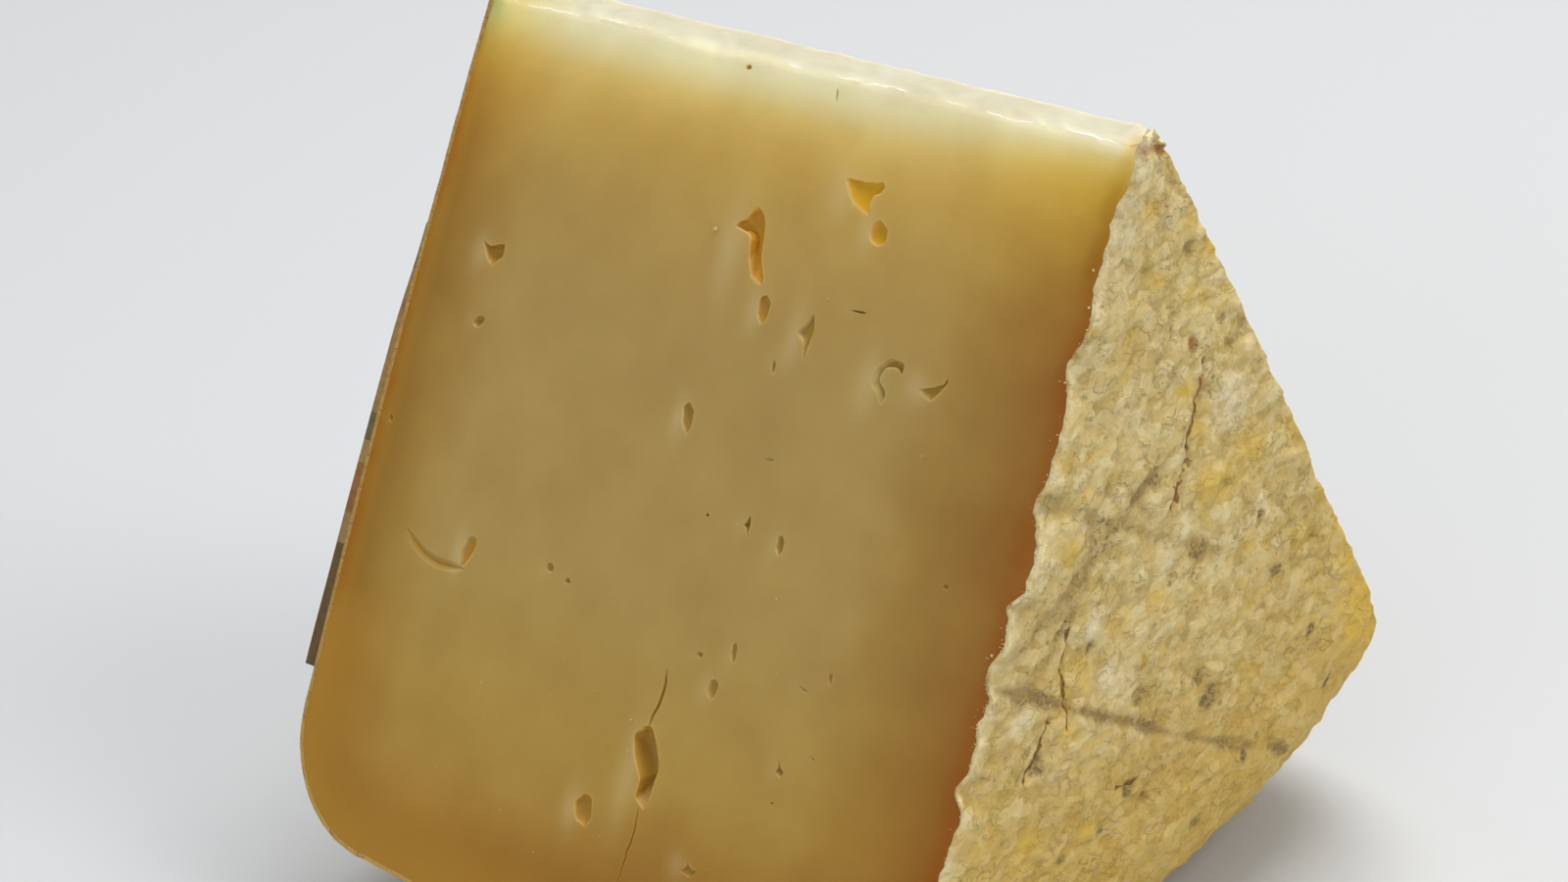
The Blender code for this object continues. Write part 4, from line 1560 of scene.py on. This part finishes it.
    def crack_cutter(self, cut: Cut, crack: Crack, label: int) -> bpy.types.Object:
        """Make the blade that splits one crack: a V carried along its path, thin at both ends.

        Its half width and depth fall off from the middle as 1 - w**4, w from -1 to 1 along it.

        Args:
            cut: the cut that the crack is in.
            crack: the crack.
            label: the cutter's number, which also sets its wobble apart.

        Returns:
            The closed cutter.
        """
        path = resample(np.array(crack.path, float), 6 * len(crack.path))
        apart = np.full(len(path), label)
        path[:, 0] += self.noise.height(np.column_stack([path, apart]) * MM, self.crack_wobble)
        run = np.gradient(path, axis=0)
        across = np.stack([run[:, 1], -run[:, 0]], axis=1) / np.linalg.norm(run, axis=1)[:, None]
        fall = 1 - np.linspace(-1, 1, len(path)) ** 4
        half = (crack.width / 2 * fall + 0.015)[:, None]
        left, right = path - across * half, path + across * half
        above, skin = np.full(len(path), 0.5), np.full(len(path), -0.02)
        bottom = -crack.depth * fall - 0.05
        corners = ((left, above), (right, above), (right, skin), (path, bottom), (left, skin))
        points = np.stack([self.on_cut(cut, line[:, 0], line[:, 1], rise) for line, rise in corners])
        index = vertex_numbers(points)
        looped = np.concatenate([index, index[:1]])
        faces = grid_faces(looped).tolist() + [index[:, 0].tolist(), index[:, -1].tolist()]
        return make_piece(f"crack_cutter_{label}", points.reshape(-1, 3), faces)

    def back_eyes(self) -> list[Eye]:
        """Draw the back cut's eyes at random, one to each band of reach so that few meet.

        Returns:
            The eyes.
        """
        draw = np.random.default_rng(self.back_eye_seed)
        shapes = list(EyeShape)
        eyes = []
        for reach in np.linspace(14, 92, self.back_eye_count):
            width = 0.5 + 2.3 * draw.random() ** 2.5
            eyes.append(Eye(
                x=draw.uniform(-38, 36),
                reach=reach,
                width=width,
                length=width * draw.uniform(0.8, 2.2),
                shape=shapes[draw.integers(len(shapes))],
                depth=0.4 + 0.45 * width,
                lean=draw.uniform(-30, 40),
            ))
        return eyes

    def carve(self, obj: bpy.types.Object, cutters: list[bpy.types.Object]) -> None:
        """Subtract the cutters from the paste, keep the result as its mesh, and drop the cutters.

        Args:
            obj: the paste.
            cutters: closed solids.
        """
        holder = bpy.data.collections.new("cutters")
        bpy.context.scene.collection.children.link(holder)
        for cutter in cutters:
            bpy.context.scene.collection.objects.unlink(cutter)
            holder.objects.link(cutter)
        modifier = obj.modifiers.new("carve", "BOOLEAN")
        modifier.operation = "DIFFERENCE"
        modifier.solver = "MANIFOLD"
        modifier.operand_type = "COLLECTION"
        modifier.collection = holder
        evaluated = obj.evaluated_get(bpy.context.evaluated_depsgraph_get())
        carved = bpy.data.meshes.new_from_object(evaluated)
        obj.modifiers.clear()
        obj.data = carved
        for cutter in cutters:
            bpy.data.objects.remove(cutter, do_unlink=True)
        bpy.data.collections.remove(holder)
        carved.shade_smooth()
        carved.set_sharp_from_angle(angle=math.radians(38))

    def eye_marks(self, x: Array, reach: Array) -> tuple[Array, Array]:
        """Find the painted highlights beside the front cut's eyes, and the eyes' and cracks' amber.

        A painted highlight is bell(across) * bell(along) round the middle of an eye's left side.

        Args:
            x, reach: the vertices' places on the cut in mm.

        Returns:
            The painted highlight and the amber, each from 0 to 1.
        """
        eye_highlight, amber = np.zeros(len(x)), np.zeros(len(x))
        for eye in FRONT_EYES:
            left = eye.x - 0.5 * eye.width - 0.3
            across = (x - left) / (0.7 + 0.2 * eye.width)
            along = (reach - eye.reach - 0.1 * eye.length) / (0.55 * eye.length + 0.5)
            strength = self.eye_highlight_strength * min(eye.width * eye.length / 6, 1)
            eye_highlight = np.maximum(eye_highlight, strength * bell(across) * bell(along))
            if eye.amber:
                across, along = (x - eye.x) / (0.8 * eye.width), (reach - eye.reach) / (0.8 * eye.length)
                amber = np.maximum(amber, (np.hypot(across, along) < 1) * eye.amber)
        for crack in FRONT_CRACKS:
            inside = path_distance(x * MM, reach * MM, crack.path) < (crack.width + 0.4) * MM
            amber = np.maximum(amber, inside * crack.amber)
        return eye_highlight, amber

    def dress(self, obj: bpy.types.Object) -> None:
        """Store what the finish reads: reach, depth under the rind, crease, painted corner light and eye
        highlights, and eyes.

        The depth under the rind is that of a box with rounded corners: the least of the depth under
        the faces, under the side, and edge - |past the corner's centre|.

        Args:
            obj: the carved paste.
        """
        local = vertices(obj) - self.wheel.axis
        x, reach, drop = local[:, 0] / MM, np.hypot(local[:, 1], local[:, 2]) / MM, -local[:, 2] / MM
        half, radius = self.wheel.thickness / MM / 2, self.wheel.radius / MM
        right = smoothstep(x / 20 + 0.5)
        edge = (self.wheel.left_edge + (self.wheel.right_edge - self.wheel.left_edge) * right) / MM
        past_x, past_reach = np.maximum(np.abs(x) - (half - edge), 0), np.maximum(reach - (radius - edge), 0)
        under_skin = np.minimum(half - np.abs(x), radius - reach)
        rim = np.maximum(np.minimum(under_skin, edge - np.hypot(past_x, past_reach)), 0)
        out = np.stack([local @ cut.outward for cut in self.wheel.cuts])
        crease = self.crease - self.wheel.axis
        below = drop + np.interp(local[:, 0], crease[:, 0], crease[:, 2] / MM) + out[0] / MM
        below = np.where(out[1] > out[0], np.minimum(below, -2), below)
        hidden = (under_skin < 0.8) | (drop < self.wheel.tip_drop / MM + 1.1)
        eye_highlight, amber = self.eye_marks(x, reach)
        for name, values in {
            "rim_mm": rim * (1.5 - 0.5 * right),
            "left_share": 1 - right,
            # Where the painted pool of light lies: the lower left corner.
            "corner": 0.9 * (1 - right) * smoothstep((reach - 68) / 12) * bell(rim / 6),
            "crease_mm": below,
            "reach_mm": reach + self.golden_shift * smoothstep((x - 12) / 30) * smoothstep(below / 1.5),
            "eye_mm": np.where(hidden, 0, np.maximum(-out.max(axis=0) / MM, 0)),
            # The painted highlights beside the front cut's eyes.
            "eye_highlight": eye_highlight * (out[0] > out[1]),
            "amber_eye": amber * (out[0] > out[1]),
        }.items():
            store(obj, name, values)

    def build(self, rind: Rind, material: bpy.types.Material) -> bpy.types.Object:
        """Make, carve and dress the paste.

        Args:
            rind: the rind that borders it.
            material: its finish.

        Returns:
            The piece.
        """
        obj = self.body(rind)
        front, back = self.wheel.cuts
        cutters = [self.eye_cutter(front, eye, label) for label, eye in enumerate(FRONT_EYES)]
        cutters += [self.crack_cutter(front, crack, label) for label, crack in enumerate(FRONT_CRACKS)]
        cutters += [self.eye_cutter(back, eye, 100 + label) for label, eye in enumerate(self.back_eyes())]
        self.carve(obj, cutters)
        self.dress(obj)
        settle(obj, material, CHEESE_SLOT, "pecorino_wedge")
        return obj


@dataclass
class Label:
    """Ring of printed card on the left face, cut through with the cheese and thinner inwards."""

    wheel: Wheel
    noise: Lattice
    inner_reach: float = 31 * MM
    outer_reach: float = 82 * MM
    thin: float = 0.4 * MM
    thick: float = 1.15 * MM
    gap: float = 0.3 * MM
    clear: float = 0.03 * MM
    taper: float = 14 * MM
    taper_end: float = 0.3
    waviness: Rough = Rough(9 * MM, 0.06 * MM)
    steps: int = 90
    slices: int = 90

    def depth(self, reach: Array) -> Array:
        """Depth of the gap and the card, growing straight from the inner to the outer reach."""
        along = (reach - self.inner_reach) / (self.outer_reach - self.inner_reach)
        return self.gap + self.thin + (self.thick - self.thin) * along

    def build(self, material: bpy.types.Material) -> bpy.types.Object:
        """Make the card: x = -(face + clear) inside, and that less its depth outside.

        Args:
            material: its finish.

        Returns:
            The piece.
        """
        swings = np.linspace(-self.wheel.half_wedge, self.wheel.half_wedge, self.slices)
        reach = np.linspace(self.inner_reach, self.outer_reach, self.steps)[:, None]
        face = self.wheel.thickness / 2 + self.wheel.crown(reach) + self.clear
        taper = smoothstep((reach - self.inner_reach) / self.taper)
        card = self.depth(reach) * (self.taper_end + (1 - self.taper_end) * taper)
        smooth = self.wheel.place(-face - card, reach, swings)
        waves = self.noise.height(smooth, self.waviness) - self.waviness.tall
        outer = self.wheel.place(-face - card - waves, reach, swings)
        inner = self.wheel.place(-face, reach, swings)
        index = vertex_numbers(outer)
        under = index + index.size
        faces = grid_faces(index).tolist() + grid_faces(under[::-1]).tolist()
        every = slice(None)
        for side in ((0, every), (-1, every), (every, 0), (every, -1)):
            faces += grid_faces(np.stack([index[side], under[side]])).tolist()
        obj = make_piece("label_card", np.concatenate([outer.reshape(-1, 3), inner.reshape(-1, 3)]), faces)
        local = vertices(obj) - self.wheel.axis
        store(obj, "reach_mm", np.hypot(local[:, 1], local[:, 2]) / MM)
        settle(obj, material, CARD_SLOT, "label")
        return obj


@dataclass
class Crumbs:
    """Crumbs that the knife dragged off the rind and left on the cut faces, and specks in the paste.

    The specks are (x, reach, size) in mm on the front cut. The blank marks are those of the rind's
    finish that no crumb shows.
    """

    wheel: Wheel
    rind: Rind
    paste: Paste
    count: int = 260
    strewn_count: int = 90
    blank_marks: tuple[str, ...] = (
        "fold", "pit", "amber", "bloom", "crack_share", "lower", "border", "stain", "left_border",
    )
    specks: Spots = (
        (-4.4, 23.2, 0.4), (29.0, 39.7, 0.16), (12.4, 27.0, 0.1), (7.6, 23.5, 0.1), (1.3, 75.2, 0.16),
        (2.0, 78.5, 0.14),
    )
    seed: int = 5
    sizes: tuple[float, float] = (0.06 * MM, 0.17 * MM)
    spread: float = 0.55 * MM
    off_rind: float = 0.05 * MM
    low_share: float = 0.7

    def lump(self, draw: np.random.Generator, ball: Array, size: float) -> Array:
        """One uneven crumb: a ball stretched along each axis, and each corner moved in or out."""
        stretch = size * draw.uniform(0.6, 1.3, 3)
        return ball * stretch * draw.uniform(0.8, 1.2, (len(ball), 1))

    def by_rind(self, draw: np.random.Generator, ball: Array) -> list[Array]:
        """Lay crumbs on both cuts close under the right rind's edge.

        Args:
            draw: the random numbers.
            ball: corners of a unit ball.

        Returns:
            The corners of each crumb.
        """
        edges = []
        for cut in self.wheel.cuts:
            x, reach, normal_x, normal_reach, *_ = self.rind.outer(np.array([cut.swing]))
            outline = np.concatenate([x, reach, normal_x, normal_reach], axis=1)
            edges.append(outline[-self.rind.counts["right_face"]:])
        lumps = []
        for label in range(self.count):
            cut, edge = self.wheel.cuts[label % 2], edges[label % 2]
            place = (1 - self.low_share * draw.random()) * draw.random() ** 0.6
            x, reach, normal_x, normal_reach = edge[int(len(edge) * place)]
            inward = abs(draw.normal(0, self.spread)) + self.off_rind
            size = self.sizes[0] + (self.sizes[1] - self.sizes[0]) * draw.random() ** 3
            where = self.wheel.place(x - inward * normal_x, reach - inward * normal_reach, cut.swing)
            lumps.append(where + cut.outward * size * 0.3 + self.lump(draw, ball, size))
        return lumps

    def on_paste(self, draw: np.random.Generator, ball: Array) -> list[Array]:
        """Lay the named specks on the front cut, and strew finer ones over both.

        Args:
            draw: the random numbers.
            ball: corners of a unit ball.

        Returns:
            The corners of each speck.
        """
        front, back = self.wheel.cuts
        spots = [(front, *speck) for speck in self.specks]
        for label in range(self.strewn_count):
            cut = back if label % 2 else front
            spots.append((cut, draw.uniform(-24, 22), draw.uniform(52, 94), draw.uniform(0.04, 0.1)))
        lumps = []
        for cut, x, reach, size in spots:
            where = self.wheel.place(x * MM, reach * MM, cut.swing)
            lumps.append(where + cut.outward * self.paste.swell(where) + self.lump(draw, ball, size * MM))
        return lumps

    def build(self, material: bpy.types.Material) -> bpy.types.Object:
        """Make the crumbs from uneven icosahedra.

        Args:
            material: their finish.

        Returns:
            The piece.
        """
        draw = np.random.default_rng(self.seed)
        mesh = bmesh.new()
        bmesh.ops.create_icosphere(mesh, subdivisions=1, radius=1)
        ball = np.array([vert.co for vert in mesh.verts])
        corners = np.array([[vert.index for vert in face.verts] for face in mesh.faces])
        mesh.free()
        lumps = self.by_rind(draw, ball) + self.on_paste(draw, ball)
        faces = (corners + len(ball) * np.arange(len(lumps))[:, None, None]).reshape(-1, 3).tolist()
        obj = make_piece("crumbs", np.concatenate(lumps), faces, sharp=25)
        for name in self.blank_marks:
            store(obj, name, np.zeros(len(obj.data.vertices)))
        settle(obj, material, CHEESE_SLOT)
        return obj


@dataclass(frozen=True)
class Softbox:
    """A soft square light: its place and size in metres, its power in watts and its tone."""

    name: str
    place: tuple[float, float, float]
    size: float
    power: float
    tone: str


@dataclass(frozen=True)
class Studio:
    """Plain pale floor, soft studio lights and the camera."""

    target: Vector
    azimuth: float = math.radians(42.58)
    elevation: float = math.radians(25.03)
    roll: float = math.radians(-3.96)
    distance: float = 470.59 * MM
    shift_right: float = -4.33 * MM
    shift_up: float = -7.52 * MM
    lens: float = 100.0
    sensor_width: float = 36.0
    nearest: float = 10 * MM
    floor_half: float = 3.0
    lights: tuple[Softbox, ...] = (
        Softbox("top_softbox", (-0.05, 0.35, 1.1), 0.8, 12.0, "#fffdf8"),
        Softbox("right_softbox", (0.85, 0.2, 0.8), 0.6, 5.0, "#fffaf2"),
        Softbox("front_fill", (0.25, -1.1, 0.7), 1.0, 4.8, "#fafbff"),
    )
    world_tone: str = "#e4e6e8"
    world_strength: float = 0.35

    def camera(self) -> None:
        """Aim a long lens at the wedge from the front right and above, turned by its roll."""
        e, a, r = self.elevation, self.azimuth, self.roll
        ahead = Vector((-math.sin(a) * math.cos(e), math.cos(a) * math.cos(e), -math.sin(e)))
        level = Vector((math.cos(a), math.sin(a), 0))
        upright = level.cross(ahead)
        right = math.cos(r) * level + math.sin(r) * upright
        up = math.cos(r) * upright - math.sin(r) * level
        data = bpy.data.cameras.new("camera")
        data.lens = self.lens
        data.sensor_width = self.sensor_width
        data.clip_start = self.nearest
        camera = bpy.data.objects.new("camera", data)
        place = self.target + self.shift_right * right + self.shift_up * up - self.distance * ahead
        turn = Matrix((right, up, -ahead)).transposed().to_4x4()
        camera.matrix_world = Matrix.Translation(place) @ turn
        bpy.context.scene.collection.objects.link(camera)
        bpy.context.scene.camera = camera

    def hang(self, light: Softbox) -> None:
        """Hang a light so that it faces the wedge.

        Args:
            light: what to hang.
        """
        data = bpy.data.lights.new(light.name, "AREA")
        data.shape = "SQUARE"
        data.size = light.size
        data.energy = light.power
        data.color = linear(light.tone)[:3]
        lamp = bpy.data.objects.new(light.name, data)
        lamp.location = light.place
        lamp.rotation_euler = (self.target - Vector(light.place)).to_track_quat("-Z", "Y").to_euler()
        bpy.context.scene.collection.objects.link(lamp)

    def build(self) -> None:
        """Lay the floor, hang the lights, set the world's even light and place the camera."""
        s = self.floor_half
        mesh = bpy.data.meshes.new("floor")
        mesh.from_pydata([(-s, -s, 0), (s, -s, 0), (s, s, 0), (-s, s, 0)], [], [(0, 1, 2, 3)])
        floor = bpy.data.objects.new("floor", mesh)
        bpy.context.scene.collection.objects.link(floor)
        floor.data.materials.append(StudioFloor().build())
        for light in self.lights:
            self.hang(light)
        world = bpy.data.worlds.new("studio")
        world.use_nodes = True
        background = world.node_tree.nodes["Background"]
        background.inputs["Color"].default_value = linear(self.world_tone)
        background.inputs["Strength"].default_value = self.world_strength
        bpy.context.scene.world = world
        bpy.context.scene.view_settings.view_transform = "Standard"
        self.camera()
        log.info("studio: floor, %d lights and camera", len(self.lights))


def wheel_axis() -> Array:
    """Place of the wheel's axis in the row frame, from the label's box.

    The card's outermost place is x = -(thickness / 2 + crown + depth of the card), and the axis
    stands radius + side crown less the flattened rest spot above the floor.

    Returns:
        The axis as x, y and z.
    """
    low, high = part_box("label")
    bare = Wheel(axis=np.zeros(3))
    label = Label(bare, Lattice(0))
    reach = np.linspace(label.inner_reach, label.outer_reach, 10)
    outermost = np.max(bare.thickness / 2 + bare.crown(reach) + label.depth(reach))
    height = bare.radius + bare.side_crown - bare.rest_depth
    return np.array([low.x + outermost, (low.y + high.y) / 2, height])


def main() -> None:
    """Build the wedge's pieces in order, then the studio."""
    logging.basicConfig(level=logging.INFO, format="%(name)s: %(message)s")
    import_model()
    noise = Lattice(seed=20)
    wheel = Wheel(axis=wheel_axis())
    rind_finish = NaturalRind().build()
    rind = Rind(wheel, RindRelief(wheel, noise))
    rind.build(rind_finish)
    paste = Paste(wheel, noise)
    paste.build(rind, CutPaste().build())
    Label(wheel, noise).build(PrintedCard().build())
    Crumbs(wheel, rind, paste).build(rind_finish)
    Studio(Vector((0, wheel.axis[1], wheel.axis[2] - 40 * MM))).build()


if __name__ == "__main__":
    main()
